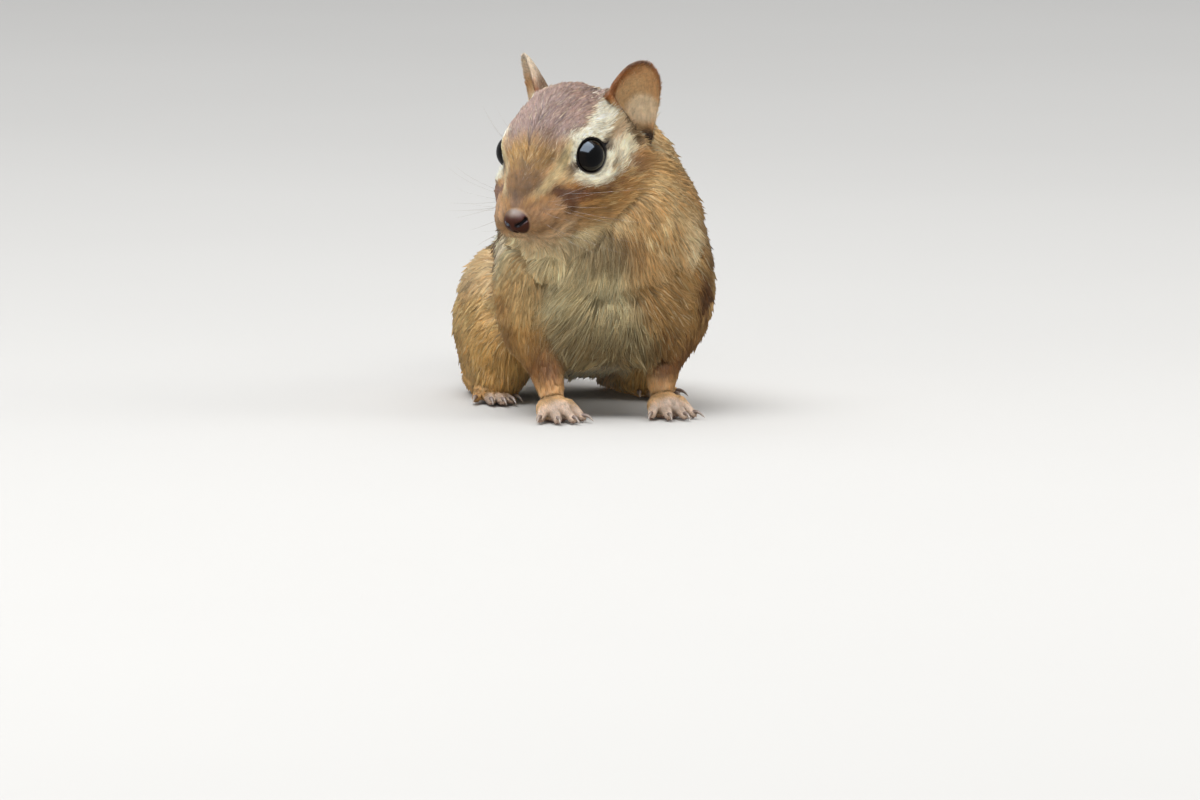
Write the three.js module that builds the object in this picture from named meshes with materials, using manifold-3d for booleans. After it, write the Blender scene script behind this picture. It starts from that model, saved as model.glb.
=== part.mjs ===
// Eastern chipmunk (Tamias striatus), life size, sitting on its four feet with
// the head turned to its own right. Millimetres, +Z up, +X the animal's left,
// -Y the way the trunk faces. All solids go out to the tips of the coat.
//
// The whole coat surface is one implicit form, a smooth union of ellipsoids and
// round cones laid out from the sizes below. It is turned into closed meshes,
// finer on the head and feet, and parted at the neck, shoulders, hips, wrists,
// ankles and along the tail with thin gaps.
import * as THREE from 'three';
import Module from 'manifold-3d';

const wasm = await Module();
wasm.setup();

// ---------------------------------------------------------------- sizes (mm)
const HEAD_YAW = 49;               // degrees, head turned towards -X
const HEAD_PITCH = 29;             // degrees, nose below the level
const HEAD_AT = [-13.7, -5.0, 60.2]; // point midway between the eyes
const EYE_R = 4.25;                // eyeball radius
const EYE_OUT = 9.6;               // eyeball centre from the middle plane
const EAR_DEEP = 3.6;              // cup of the ear
const EAR_THICK = 1.05;            // ear with its short coat
const EAR_LENGTH = 15.3;           // middle of the base to the tip
const FOREFOOT_X = 13.2;           // forefoot from the middle line
const FOREFOOT_Y = -8.0;
const HINDFOOT_X = 19.3;           // hind foot from the pelvis line
const PELVIS_X = 4.0;
const TAIL_THICK = 9.8;            // tail radius with its hair, at the middle
const TAIL_PATH = [[5, 70, 15], [2, 104, 6], [26, 122, 8.4], [55, 143, 7.2]];
const CLAW_FORE = 2.6, CLAW_HIND = 2.8;
const GAP = 0.3;                   // between neighbouring solids

// cell sizes of the meshes
const CELL = { trunk: 4.6, neck: 4.0, head: 2.0, tail: 3.6, foreleg: 2.8, hindleg: 3.6, forefoot: 1.6, hindfoot: 2.2, ear: 3.0 };
// triangles left in each piece once its flat places are thinned out
const TRIANGLES = { head: 2250, neck: 420, trunk: 1250, tail: 270, foreleg: 360, forefoot: 620, hindleg: 330, hindfoot: 680, ear: 330, eye: 260 };

const COLOURS = {
  trunk: 0x9a7b56, neck: 0xa58560, head: 0x9c7a54, tail: 0x6f5a44, ear: 0xb79a80, eye: 0x0b0a0c,
  foreleg: 0x9b7148, forefoot: 0x9a7a66, hindleg: 0xa27f55, hindfoot: 0x97796a,
};

// ------------------------------------------------------------ small vectors
const rad = (d) => (d * Math.PI) / 180;
const add = (a, b) => [a[0] + b[0], a[1] + b[1], a[2] + b[2]];
const sub = (a, b) => [a[0] - b[0], a[1] - b[1], a[2] - b[2]];
const mul = (a, s) => [a[0] * s, a[1] * s, a[2] * s];
const dot = (a, b) => a[0] * b[0] + a[1] * b[1] + a[2] * b[2];
const cross = (a, b) => [a[1] * b[2] - a[2] * b[1], a[2] * b[0] - a[0] * b[2], a[0] * b[1] - a[1] * b[0]];
const unit = (a) => mul(a, 1 / Math.hypot(...a));
const mixR = (a, b, t) => a * (1 - t) + b * t;
const mixv = (a, b, t) => add(mul(a, 1 - t), mul(b, t));

// -------------------------------------------------------------- head's frame
const FWD = [-Math.sin(rad(HEAD_YAW)) * Math.cos(rad(HEAD_PITCH)), -Math.cos(rad(HEAD_YAW)) * Math.cos(rad(HEAD_PITCH)), -Math.sin(rad(HEAD_PITCH))];
const LEFT = [Math.cos(rad(HEAD_YAW)), -Math.sin(rad(HEAD_YAW)), 0];
const UP = cross(FWD, LEFT);
const HEAD_AXES = [FWD, LEFT, UP];
const BODY_AXES = [[1, 0, 0], [0, 1, 0], [0, 0, 1]];
// a point forward, left and up of the place between the eyes
const onHead = (a, b, c) => add(add(HEAD_AT, mul(FWD, a)), add(mul(LEFT, b), mul(UP, c)));
const dirHead = (v, s) => unit(add(add(mul(FWD, v[0]), mul(LEFT, s * v[1])), mul(UP, v[2])));
const yawed = (deg) => [[Math.cos(rad(deg)), -Math.sin(rad(deg)), 0], [Math.sin(rad(deg)), Math.cos(rad(deg)), 0], [0, 0, 1]];

// ---------------------------------------------------------------- the forms
// each blends into what came before it over the width k
const ell = (c, r, axes, k) => ({ c, r, axes, k });
const cone = (a, b, ra, rb, k) => ({ a, b, ra, rb, k });

function bezier(P, t) {
  const u = 1 - t;
  return add(add(mul(P[0], u * u * u), mul(P[1], 3 * u * u * t)), add(mul(P[2], 3 * u * t * t), mul(P[3], t * t * t)));
}
// the tail swells from its root to the middle and thins out to the tip
const tailR = (t) => 5.5 + (TAIL_THICK - 5.5) * Math.sin(Math.min(t / 0.62, 1) * Math.PI / 2) - (t > 0.62 ? 6.2 * ((t - 0.62) / 0.38) ** 2 : 0);

const FORE_TOES = [[-4.7, -14.0], [-1.75, -17.2], [1.75, -17.2], [4.7, -14.0]];
const HIND_TOES = [[-4.6, 30.5], [-2.4, 25.5], [0, 24], [2.4, 25.5], [4.6, 30.5]];
const foreToe = (s, [dx, dy]) => [[s * FOREFOOT_X + dx * 0.62, -9.6, 3.7], [s * FOREFOOT_X + dx * 1.05, dy + 0.8, 1.15]];
const hindToe = (s, [dx, dy]) => [[PELVIS_X + s * HINDFOOT_X + dx * 0.62, 36, 2.4], [PELVIS_X + s * (HINDFOOT_X + 0.5) + dx, dy + 1, 1.3]];

function makeForms() {
  const F = [];
  // trunk: pelvis, belly, back, chest, shoulders, breast
  F.push(ell([5.5, 53, 23.5], [18, 24, 20.5], BODY_AXES, 0.1));
  F.push(ell([6.0, 33, 27], [19.5, 22, 21], yawed(3), 9));
  F.push(ell([6.8, 32, 37], [12, 26, 17], yawed(3), 8));
  F.push(ell([5.0, 21, 47], [14.5, 17, 13.5], yawed(8), 8));
  F.push(ell([3.6, 11, 33.2], [25.0, 18, 24], yawed(10), 12));
  F.push(ell([3.0, 6, 46], [20.3, 15, 15.4], yawed(17), 10));
  F.push(ell([0.5, -4, 24], [18, 9, 13], yawed(12), 8));
  // neck
  F.push(ell([5.0, 9.5, 58], [13.5, 13, 14], yawed(20), 8));
  F.push(cone(onHead(-10, 0, -11), [1.5, 4, 44], 13.5, 17.6, 10));
  // head: skull, bridge, muzzle, whisker pads, cheeks, brows, lower jaw, nose
  const he = (c, r, k) => F.push(ell(onHead(...c), r, HEAD_AXES, k));
  const hc = (a, b, ra, rb, k) => F.push(cone(onHead(...a), onHead(...b), ra, rb, k));
  he([-8.5, 0, -1.5], [15.5, 13.0, 13.2], 5);
  hc([-1, 0, 0], [9.5, 0, -3.9], 9.6, 6.6, 4);
  hc([9, 0, -4.8], [16.8, 0, -5.8], 6.2, 3.9, 3);
  for (const s of [1, -1]) {
    he([11.0, s * 4.2, -7.9], [7.8, 5.0, 5.5], 2.5);
    he([4.0, s * 6.6, -8.0], [8.0, 6.0, 6.8], 3);
    he([-4.5, s * 9.2, -8.8], [11.5, 7.0, 9.6], 4);
    he([-1.5, s * 6.6, 3.6], [6.5, 3.6, 3.4], 3);
  }
  hc([11.0, 0, -11.2], [-4, 0, -12.6], 4.0, 9.6, 3);
  he([6.0, 0, -15.6], [6.5, 7.5, 6.0], 5);
  he([19.0, 0, -5.3], [2.0, 2.9, 2.6], 0.8);
  for (const s of [1, -1]) {
    // foreleg and forefoot
    F.push(ell([2 + s * 18.5, 4, 27], [7.5, 9, 14], yawed(10), 6));
    F.push(cone([1.5 + s * 15.5, 3, 20], [s * FOREFOOT_X, -4.5, 7.5], 6.6, 3.3, 4));
    F.push(ell([s * FOREFOOT_X, FOREFOOT_Y, 2.65], [4.3, 5.6, 3.3], BODY_AXES, 2));
    // thigh, knee, hind foot
    F.push(ell([4.6 + s * 15.5, 47, 17.5], [9.6, 18, 17.5], BODY_AXES, 6));
    F.push(ell([4.2 + s * 17.2, 37, 12.5], [8.2, 11.5, 11.5], BODY_AXES, 4));
    F.push(cone([4.2 + s * 16.5, 58, 4.0], [4.0 + s * 19.0, 36, 3.2], 4.0, 3.4, 3));
  }
  const steps = 12;
  for (let i = 0; i < steps; i++) F.push(cone(bezier(TAIL_PATH, i / steps), bezier(TAIL_PATH, (i + 1) / steps), tailR(i / steps), tailR((i + 1) / steps), 3));
  return F;
}
const FORMS = makeForms();

function dForm(p, q) {
  if (q.r) {
    const d = sub(p, q.c);
    const x = dot(d, q.axes[0]), y = dot(d, q.axes[1]), z = dot(d, q.axes[2]);
    const [a, b, c] = q.r;
    const k0 = Math.hypot(x / a, y / b, z / c), k1 = Math.hypot(x / (a * a), y / (b * b), z / (c * c));
    return k1 > 1e-9 ? (k0 * (k0 - 1)) / k1 : -Math.min(a, b, c);
  }
  // round cone
  const ba = sub(q.b, q.a), l2 = dot(ba, ba), rr = q.ra - q.rb, a2 = l2 - rr * rr, il2 = 1 / l2;
  const pa = sub(p, q.a), y = dot(pa, ba), z = y - l2, w = sub(mul(pa, l2), mul(ba, y));
  const x2 = dot(w, w), y2 = y * y * l2, z2 = z * z * l2, k = Math.sign(rr) * rr * rr * x2;
  if (Math.sign(z) * a2 * z2 > k) return Math.sqrt(x2 + z2) * il2 - q.rb;
  if (Math.sign(y) * a2 * y2 < k) return Math.sqrt(x2 + y2) * il2 - q.ra;
  return (Math.sqrt(x2 * a2 * il2) + y * rr) * il2 - q.ra;
}
// signed distance to the coat's surface, negative inside
function coat(p) {
  let d = dForm(p, FORMS[0]);
  for (let i = 1; i < FORMS.length; i++) {
    const e = dForm(p, FORMS[i]), k = FORMS[i].k, h = Math.max(k - Math.abs(d - e), 0) / k;
    d = Math.min(d, e) - h * h * k * 0.25;
  }
  return d;
}

// ---------------------------------------------- closed meshes from the form
// One vertex per cell that the surface crosses, moved onto the surface, and a
// quad round each crossed grid edge. The box's own faces close the mesh.
function skin(g, lo, hi, h) {
  const n = [0, 1, 2].map((i) => Math.ceil((hi[i] - lo[i]) / h) + 1);
  const id = (i, j, k) => (k * n[1] + j) * n[0] + i;
  const at = (i, j, k) => [lo[0] + i * h, lo[1] + j * h, lo[2] + k * h];
  const val = new Float64Array(n[0] * n[1] * n[2]);
  for (let k = 0; k < n[2]; k++) for (let j = 0; j < n[1]; j++) for (let i = 0; i < n[0]; i++) {
    const edge = i === 0 || j === 0 || k === 0 || i === n[0] - 1 || j === n[1] - 1 || k === n[2] - 1;
    let v = g(at(i, j, k));
    if (Math.abs(v) < 1e-4) v = 1e-4;
    val[id(i, j, k)] = edge ? Math.abs(v) + h * 0.5 : v;
  }
  const verts = [], cellOf = new Int32Array(n[0] * n[1] * n[2]).fill(-1);
  for (let k = 0; k < n[2] - 1; k++) for (let j = 0; j < n[1] - 1; j++) for (let i = 0; i < n[0] - 1; i++) {
    let sum = [0, 0, 0], count = 0;
    const corner = (c) => [i + (c & 1), j + ((c >> 1) & 1), k + (c >> 2)];
    for (let c = 0; c < 8; c++) for (const bit of [1, 2, 4]) {
      if (c & bit) continue;
      const A = corner(c), B = corner(c | bit), va = val[id(...A)], vb = val[id(...B)];
      if (va < 0 === vb < 0) continue;
      sum = add(sum, mixv(at(...A), at(...B), va / (va - vb)));
      count++;
    }
    if (!count) continue;
    let p = mul(sum, 1 / count);
    const inner = i > 0 && j > 0 && k > 0 && i < n[0] - 2 && j < n[1] - 2 && k < n[2] - 2;
    if (inner) {
      const start = p, e = 0.05;
      for (let step = 0; step < 4; step++) {
        const d = g(p);
        const gr = [0, 1, 2].map((m) => { const o = [0, 0, 0]; o[m] = e; return (g(add(p, o)) - g(sub(p, o))) / (2 * e); });
        const q = sub(p, mul(gr, d / Math.max(dot(gr, gr), 0.25)));
        if (Math.hypot(...sub(q, start)) > h * 0.6) break;
        p = q;
      }
    }
    cellOf[id(i, j, k)] = verts.length / 3;
    verts.push(...p);
  }
  const tris = [];
  const quad = (a, b, c, d) => {
    const P = (i) => verts.slice(i * 3, i * 3 + 3);
    if (Math.hypot(...sub(P(a), P(c))) <= Math.hypot(...sub(P(b), P(d)))) tris.push(a, b, c, a, c, d);
    else tris.push(a, b, d, b, c, d);
  };
  for (let k = 1; k < n[2] - 1; k++) for (let j = 1; j < n[1] - 1; j++) for (let i = 1; i < n[0] - 1; i++) {
    const v0 = val[id(i, j, k)];
    for (const [ax, v1] of [[0, val[id(i + 1, j, k)]], [1, val[id(i, j + 1, k)]], [2, val[id(i, j, k + 1)]]]) {
      if (v0 < 0 === v1 < 0) continue;
      const c = (dj, dk) => (ax === 0 ? cellOf[id(i, j + dj, k + dk)] : ax === 1 ? cellOf[id(i + dk, j, k + dj)] : cellOf[id(i + dj, j + dk, k)]);
      const q = [c(-1, -1), c(0, -1), c(0, 0), c(-1, 0)];
      if (v0 < 0) quad(q[0], q[1], q[2], q[3]); else quad(q[3], q[2], q[1], q[0]);
    }
  }
  // edges that leave through the low faces of the box
  for (let k = 0; k < n[2] - 1; k++) for (let j = 0; j < n[1] - 1; j++) for (let i = 0; i < n[0] - 1; i++) {
    const v0 = val[id(i, j, k)];
    if (i === 0 && j > 0 && k > 0) { const v1 = val[id(1, j, k)]; if (v0 < 0 !== v1 < 0) quad(cellOf[id(0, j - 1, k)], cellOf[id(0, j, k)], cellOf[id(0, j, k - 1)], cellOf[id(0, j - 1, k - 1)]); }
    if (j === 0 && i > 0 && k > 0) { const v1 = val[id(i, 1, k)]; if (v0 < 0 !== v1 < 0) quad(cellOf[id(i, 0, k - 1)], cellOf[id(i, 0, k)], cellOf[id(i - 1, 0, k)], cellOf[id(i - 1, 0, k - 1)]); }
    if (k === 0 && i > 0 && j > 0) { const v1 = val[id(i, j, 1)]; if (v0 < 0 !== v1 < 0) quad(cellOf[id(i - 1, j, 0)], cellOf[id(i, j, 0)], cellOf[id(i, j - 1, 0)], cellOf[id(i - 1, j - 1, 0)]); }
  }
  return solid(verts, tris);
}

// ------------------------------------------------------ solids for the cuts
function solid(verts, tris) {
  return new wasm.Manifold(new wasm.Mesh({ numProp: 3, vertProperties: new Float32Array(verts), triVerts: new Uint32Array(tris) }));
}
// a three.js geometry with its doubled vertices merged
function fromGeometry(geometry) {
  const pos = geometry.getAttribute('position'), index = geometry.index;
  const seen = new Map(), verts = [], map = [];
  for (let i = 0; i < pos.count; i++) {
    const p = [pos.getX(i), pos.getY(i), pos.getZ(i)];
    const key = p.map((v) => Math.round(v * 1e4)).join();
    if (!seen.has(key)) { seen.set(key, verts.length / 3); verts.push(...p); }
    map.push(seen.get(key));
  }
  const tris = [];
  for (let i = 0; i < (index ? index.count : pos.count); i += 3) {
    const t = [0, 1, 2].map((j) => map[index ? index.getX(i + j) : i + j]);
    if (t[0] !== t[1] && t[1] !== t[2] && t[0] !== t[2]) tris.push(...t);
  }
  return solid(verts, tris);
}
function box(lo, hi) {
  return fromGeometry(new THREE.BoxGeometry(...sub(hi, lo)).translate(...mul(add(lo, hi), 0.5)));
}
// everything within 400 mm on the side of the plane that n points to
function side(at, n, shift = 0) {
  const u = unit(n), m = new THREE.Matrix4();
  const x = unit(Math.abs(u[2]) < 0.9 ? cross([0, 0, 1], u) : cross([1, 0, 0], u)), y = cross(u, x);
  m.makeBasis(new THREE.Vector3(...x), new THREE.Vector3(...y), new THREE.Vector3(...u));
  m.setPosition(...add(at, mul(u, 200 + shift)));
  return fromGeometry(new THREE.BoxGeometry(400, 400, 400).applyMatrix4(m));
}
function ovoid(c, r, axes, grow = 0, wide = 28, high = 18) {
  const g = new THREE.SphereGeometry(1, wide, high).scale(r[0] + grow, r[1] + grow, r[2] + grow);
  const m = new THREE.Matrix4().makeBasis(new THREE.Vector3(...axes[0]), new THREE.Vector3(...axes[1]), new THREE.Vector3(...axes[2]));
  // a left-handed set of axes would turn the faces inwards
  if (m.determinant() < 0) m.multiply(new THREE.Matrix4().makeScale(1, 1, -1));
  m.setPosition(...c);
  return fromGeometry(g.applyMatrix4(m));
}
const turned = (g, from, u) => {
  const q = new THREE.Quaternion().setFromUnitVectors(new THREE.Vector3(0, 1, 0), new THREE.Vector3(...u));
  return fromGeometry(g.applyQuaternion(q).translate(...from));
};
// straight tapered claw, blunt at the tip
function claw(from, to, r0, r1) {
  const d = sub(to, from), L = Math.hypot(...d);
  return turned(new THREE.CylinderGeometry(r1, r0, L, 5, 1), mul(add(from, to), 0.5), unit(d));
}
// toe: a round cone between two ball ends
function toeSolid(a, b, ra, rb) {
  const d = sub(b, a), L = Math.hypot(...d), profile = [new THREE.Vector2(0, -ra)];
  for (const t of [-20]) profile.push(new THREE.Vector2(ra * Math.cos(rad(t)), ra * Math.sin(rad(t))));
  profile.push(new THREE.Vector2(mixR(ra, rb, 0.6) * 1.06, L * 0.62));
  for (const t of [0, 45]) profile.push(new THREE.Vector2(rb * Math.cos(rad(t)), L + rb * Math.sin(rad(t))));
  profile.push(new THREE.Vector2(0, L + rb));
  return turned(new THREE.LatheGeometry(profile, 7), a, unit(d));
}

// ------------------------------------------------------------ parting planes
const H = GAP / 2;
const across = (a, c) => add(mul(FWD, a), mul(UP, c));
// behind the skull, and under the jaw: lines in the head's middle plane
const nape = { at: onHead(-8, 0, -23), n: unit(across(26, 17)) };
const throat = { at: onHead(-8, 0, -23), n: unit(across(-8, 24)) };
const shoulders = { at: [2, 7, 45], n: unit([-0.25, -0.35, 0.9]) };
const floor = side([0, 0, 0], [0, 0, 1]);
const headZone = (grow) => side(nape.at, nape.n, -grow).intersect(side(throat.at, throat.n, -grow));
const tailPlane = (t, back) => {
  const p = bezier(TAIL_PATH, t), q = bezier(TAIL_PATH, t + 0.01), n = unit(sub(q, p));
  return side(p, back ? mul(n, -1) : n, H);
};
const legZone = (s, g) => ovoid([1.5 + s * 20.5, 2.0, 24], [9.4, 12.6, 16.5], yawed(10), g, 14, 9)
  .add(ovoid([0.6 + s * 15.2, -1.6, 10.5], [7.4, 9.4, 11.5], BODY_AXES, g, 12, 8));
const haunchZone = (s, g) => ovoid([4.6 + s * 19.5, 44.5, 13.5], [10.5, 21, 20.5], BODY_AXES, g, 18, 10);
const wrist = (s) => ({ at: [s * FOREFOOT_X, -5.3, 6.4], n: unit([s * 0.155, 0.507, 0.848]) });
const forePawZone = (s) => box([s * FOREFOOT_X - 10, -26, -1], [s * FOREFOOT_X + 10, 2.5, 12]);
const ANKLE_Z = 5.6;
const hindPawZone = (s, g) => box([PELVIS_X + s * 19 - 8.2 - g, 17 - g, -2], [PELVIS_X + s * 19 + 9 + g, 64 + g, ANKLE_Z + g]);

// --------------------------------------------------------------------- ears
// A cupped shell over a half disc whose straight side lies along the head,
// from the crown down to the notch. Its rim radius runs with the angle.
const EAR_RIM = [[-100, 8.8], [-90, 8.6], [-60, 6.2], [-30, 6.2], [0, 8.4], [20, 12.1], [41, EAR_LENGTH], [55, 13.5], [67, 11.3], [90, 8.2], [100, 8.0]];
function rimR(deg) {
  const r = (d) => {
    for (let i = 1; i < EAR_RIM.length; i++) if (d <= EAR_RIM[i][0]) {
      const [d0, r0] = EAR_RIM[i - 1], [d1, r1] = EAR_RIM[i];
      return r0 + ((r1 - r0) * (d - d0)) / (d1 - d0);
    }
    return EAR_RIM[EAR_RIM.length - 1][1];
  };
  let sum = 0, w = 0;
  for (let o = -24; o <= 24; o += 4) { const g = Math.exp(-0.5 * (o / 9) ** 2); sum += g * r(Math.max(-100, Math.min(100, deg + o))); w += g; }
  return sum / w;
}
const EAR = {
  1: { at: [-16.2, 12.8, 0.1], out: [-0.648, 0.694, 0.318], up: [0.150, -0.293, 0.946] },
  '-1': { at: [-16.2, 12.0, 0.1], out: [-0.690, 0.595, 0.412], up: [0.190, -0.400, 0.897] },
};
function earFrame(s) {
  const E = EAR[s], out = dirHead(E.out, s), up0 = dirHead(E.up, s);
  const up = unit(sub(up0, mul(out, dot(out, up0))));
  let n = cross(up, out);
  if (dot(n, FWD) < 0) n = mul(n, -1);
  return { at: onHead(E.at[0], s * E.at[1], E.at[2]), out, up, n };
}
function ear(s) {
  const { at, out, up, n } = earFrame(s);
  const NA = 14, NR = 4, ROOT = 3.2;
  // grid of points: around the half disc by angle, from the middle to the rim
  const place = (x, y, z) => add(add(at, mul(out, x)), add(mul(up, y), mul(n, z)));
  const verts = [], tris = [];
  const layer = (sign) => {
    const rows = [];
    for (let j = 0; j <= NR; j++) {
      const row = [];
      for (let i = 0; i <= NA; i++) {
        const deg = -90 + (180 * i) / NA, t = j / NR, R = rimR(deg);
        // the disc's middle is drawn out into a base line inside the head
        const x = R * t * Math.cos(rad(deg)), y = R * Math.max(t, 0) * Math.sin(rad(deg));
        const th = EAR_THICK * (1.15 - 0.45 * t) / 2, z = -EAR_DEEP * (1 - t ** 2.2) + sign * th;
        if (j === 0 && i > 0) { row.push(row[0]); continue; }
        row.push(verts.length / 3);
        verts.push(...place(x, y, z));
      }
      rows.push(row);
    }
    // root strip behind the base line, towards the head's middle
    const root = [[], []];
    for (let j = 0; j <= NR; j++) for (const e of [0, 1]) {
      const t = j / NR, deg = e ? 90 : -90, R = rimR(deg), th = EAR_THICK * (1.15 - 0.45 * t) / 2;
      if (j === 0 && e === 1) { root[1].push(root[0][0]); continue; }
      root[e].push(verts.length / 3);
      verts.push(...place(-ROOT, R * t * Math.sin(rad(deg)), -EAR_DEEP * (1 - t ** 2.2) + sign * th));
    }
    return { rows, root };
  };
  const A = layer(1), B = layer(-1);
  const tri = (a, b, c, flip) => { if (a !== b && b !== c && a !== c) tris.push(...(flip ? [a, c, b] : [a, b, c])); };
  const face = (L, flip) => {
    for (let j = 0; j < NR; j++) for (let i = 0; i < NA; i++) {
      tri(L.rows[j][i], L.rows[j + 1][i], L.rows[j + 1][i + 1], flip);
      tri(L.rows[j][i], L.rows[j + 1][i + 1], L.rows[j][i + 1], flip);
    }
    for (let j = 0; j < NR; j++) {
      const lo = [L.rows[j][0], L.rows[j + 1][0]], hi = [L.rows[j][NA], L.rows[j + 1][NA]];
      tri(L.root[0][j], L.root[0][j + 1], lo[1], flip); tri(L.root[0][j], lo[1], lo[0], flip);
      tri(hi[0], hi[1], L.root[1][j + 1], flip); tri(hi[0], L.root[1][j + 1], L.root[1][j], flip);
    }
  };
  face(A, false); face(B, true);
  // the edge: up one end of the root, round the rim, down the other end, and back along the root
  const loop = (L) => [L.root[0][NR], ...L.rows[NR], L.root[1][NR], ...L.root[1].slice(0, NR).reverse(), ...L.root[0].slice(1, NR)];
  const a = loop(A), b = loop(B);
  for (let i = 0; i < a.length; i++) {
    const j = (i + 1) % a.length;
    tri(a[i], b[i], b[j], false); tri(a[i], b[j], a[j], false);
  }
  let m = solid(verts, tris);
  if (m.volume() < 0) { for (let i = 0; i < tris.length; i += 3) [tris[i + 1], tris[i + 2]] = [tris[i + 2], tris[i + 1]]; m = solid(verts, tris); }
  return m;
}

// -------------------------------------------------------------- the pieces
const pieces = {};
const eyes = { 1: onHead(-0.9, EYE_OUT, 0.1), '-1': onHead(-0.9, -EYE_OUT, 0.1) };

{
  let head = skin(coat, [-46, -34, 34], [26, 34, 88], CELL.head).intersect(headZone(-H));
  for (const s of [1, -1]) head = head.subtract(ovoid(eyes[s], [EYE_R, EYE_R, EYE_R], HEAD_AXES, GAP, 16, 10));
  pieces.head = head;

  let neck = skin(coat, [-34, -30, 28], [36, 44, 88], CELL.neck);
  neck = neck.subtract(headZone(H)).intersect(side(shoulders.at, shoulders.n, H));
  for (const s of [1, -1]) neck = neck.subtract(legZone(s, GAP));
  pieces.neck = neck;

  let trunk = skin(coat, [-34, -30, -8], [44, 98, 74], CELL.trunk).intersect(floor);
  trunk = trunk.subtract(headZone(H)).subtract(side(shoulders.at, shoulders.n, -H));
  const rootPlane = bezier(TAIL_PATH, 0.055), rootN = unit(sub(bezier(TAIL_PATH, 0.07), bezier(TAIL_PATH, 0.04)));
  trunk = trunk.subtract(side(rootPlane, rootN, -H));
  for (const s of [1, -1]) {
    trunk = trunk.subtract(legZone(s, GAP)).subtract(haunchZone(s, GAP)).subtract(hindPawZone(s, GAP));
    trunk = trunk.subtract(forePawZone(s).subtract(side(wrist(s).at, wrist(s).n, H)));
  }
  pieces.trunk = trunk;

  const tail = skin(coat, [-14, 62, -10], [76, 166, 36], CELL.tail).intersect(floor).intersect(side(rootPlane, rootN, H));
  pieces.tail_1 = tail.intersect(tailPlane(0.36, true));
  pieces.tail_2 = tail.intersect(tailPlane(0.36, false)).intersect(tailPlane(0.68, true));
  pieces.tail_3 = tail.intersect(tailPlane(0.68, false));
}
for (const s of [1, -1]) {
  const S = s > 0 ? 'L' : 'R', X = s * FOREFOOT_X;
  const w = wrist(s), below = side(w.at, mul(w.n, -1), H), above = side(w.at, w.n, H);
  // foreleg from the shoulder to the wrist
  const legBlank = skin(coat, [Math.min(s * 3, s * 36), -24, -4], [Math.max(s * 3, s * 36), 22, 46], CELL.foreleg);
  pieces[`foreleg_${S}`] = legBlank.intersect(legZone(s, 0)).intersect(above).intersect(floor);
  // forefoot with its four toes and their claws
  let paw = skin(coat, [X - 9, -22, -4], [X + 9, 5, 12], CELL.forefoot).intersect(floor);
  paw = paw.intersect(forePawZone(s)).intersect(below);
  for (const toe of FORE_TOES) {
    const [a, b] = foreToe(s, toe), u = unit([b[0] - a[0], b[1] - a[1], 0]);
    paw = paw.add(toeSolid(a, b, 1.55, 1.05));
    paw = paw.add(claw(add(b, [u[0] * 0.2, u[1] * 0.2, 0.35]), add(b, [u[0] * (0.7 + CLAW_FORE), u[1] * (0.7 + CLAW_FORE), -0.75]), 0.62, 0.2));
  }
  pieces[`forefoot_${S}`] = paw.intersect(floor);
  // haunch: thigh and knee
  const hx = PELVIS_X + s * 19;
  const hip = skin(coat, [hx - 24, 16, -8], [hx + 24, 74, 46], CELL.hindleg).intersect(floor);
  pieces[`hindleg_${S}`] = hip.intersect(haunchZone(s, 0)).subtract(hindPawZone(s, GAP));
  // hind foot, flat under the haunch, with its five toes and their claws
  let foot = skin(coat, [hx - 11.5, 14, -5], [hx + 13.5, 70, 11], CELL.hindfoot).intersect(floor).intersect(hindPawZone(s, 0));
  for (const toe of HIND_TOES) {
    const [a, b] = hindToe(s, toe), u = unit([b[0] - a[0], b[1] - a[1], 0]);
    foot = foot.add(toeSolid(a, b, 1.7, 1.1));
    foot = foot.add(claw(add(b, [u[0] * 0.2, u[1] * 0.2, 0.3]), add(b, [u[0] * (0.8 + CLAW_HIND), u[1] * (0.8 + CLAW_HIND), -0.8]), 0.65, 0.2));
  }
  pieces[`hindfoot_${S}`] = foot.intersect(floor);
  // ear, cut back from the coat of the head and neck
  const near = skin((p) => coat(p) - GAP, [-46, -34, 40], [34, 40, 92], CELL.ear);
  pieces[`ear_${S}`] = ear(s).subtract(near);
  pieces[`eye_${S}`] = ovoid(eyes[s], [EYE_R, EYE_R, EYE_R], HEAD_AXES, 0, 16, 10);
}

// ------------------------------------------------------------- scene graph
// Small leftovers of a cut are dropped: only the largest body of each piece stays.
function largest(m) {
  const parts = m.decompose();
  return parts.reduce((a, b) => (b.volume() > a.volume() ? b : a));
}
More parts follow.
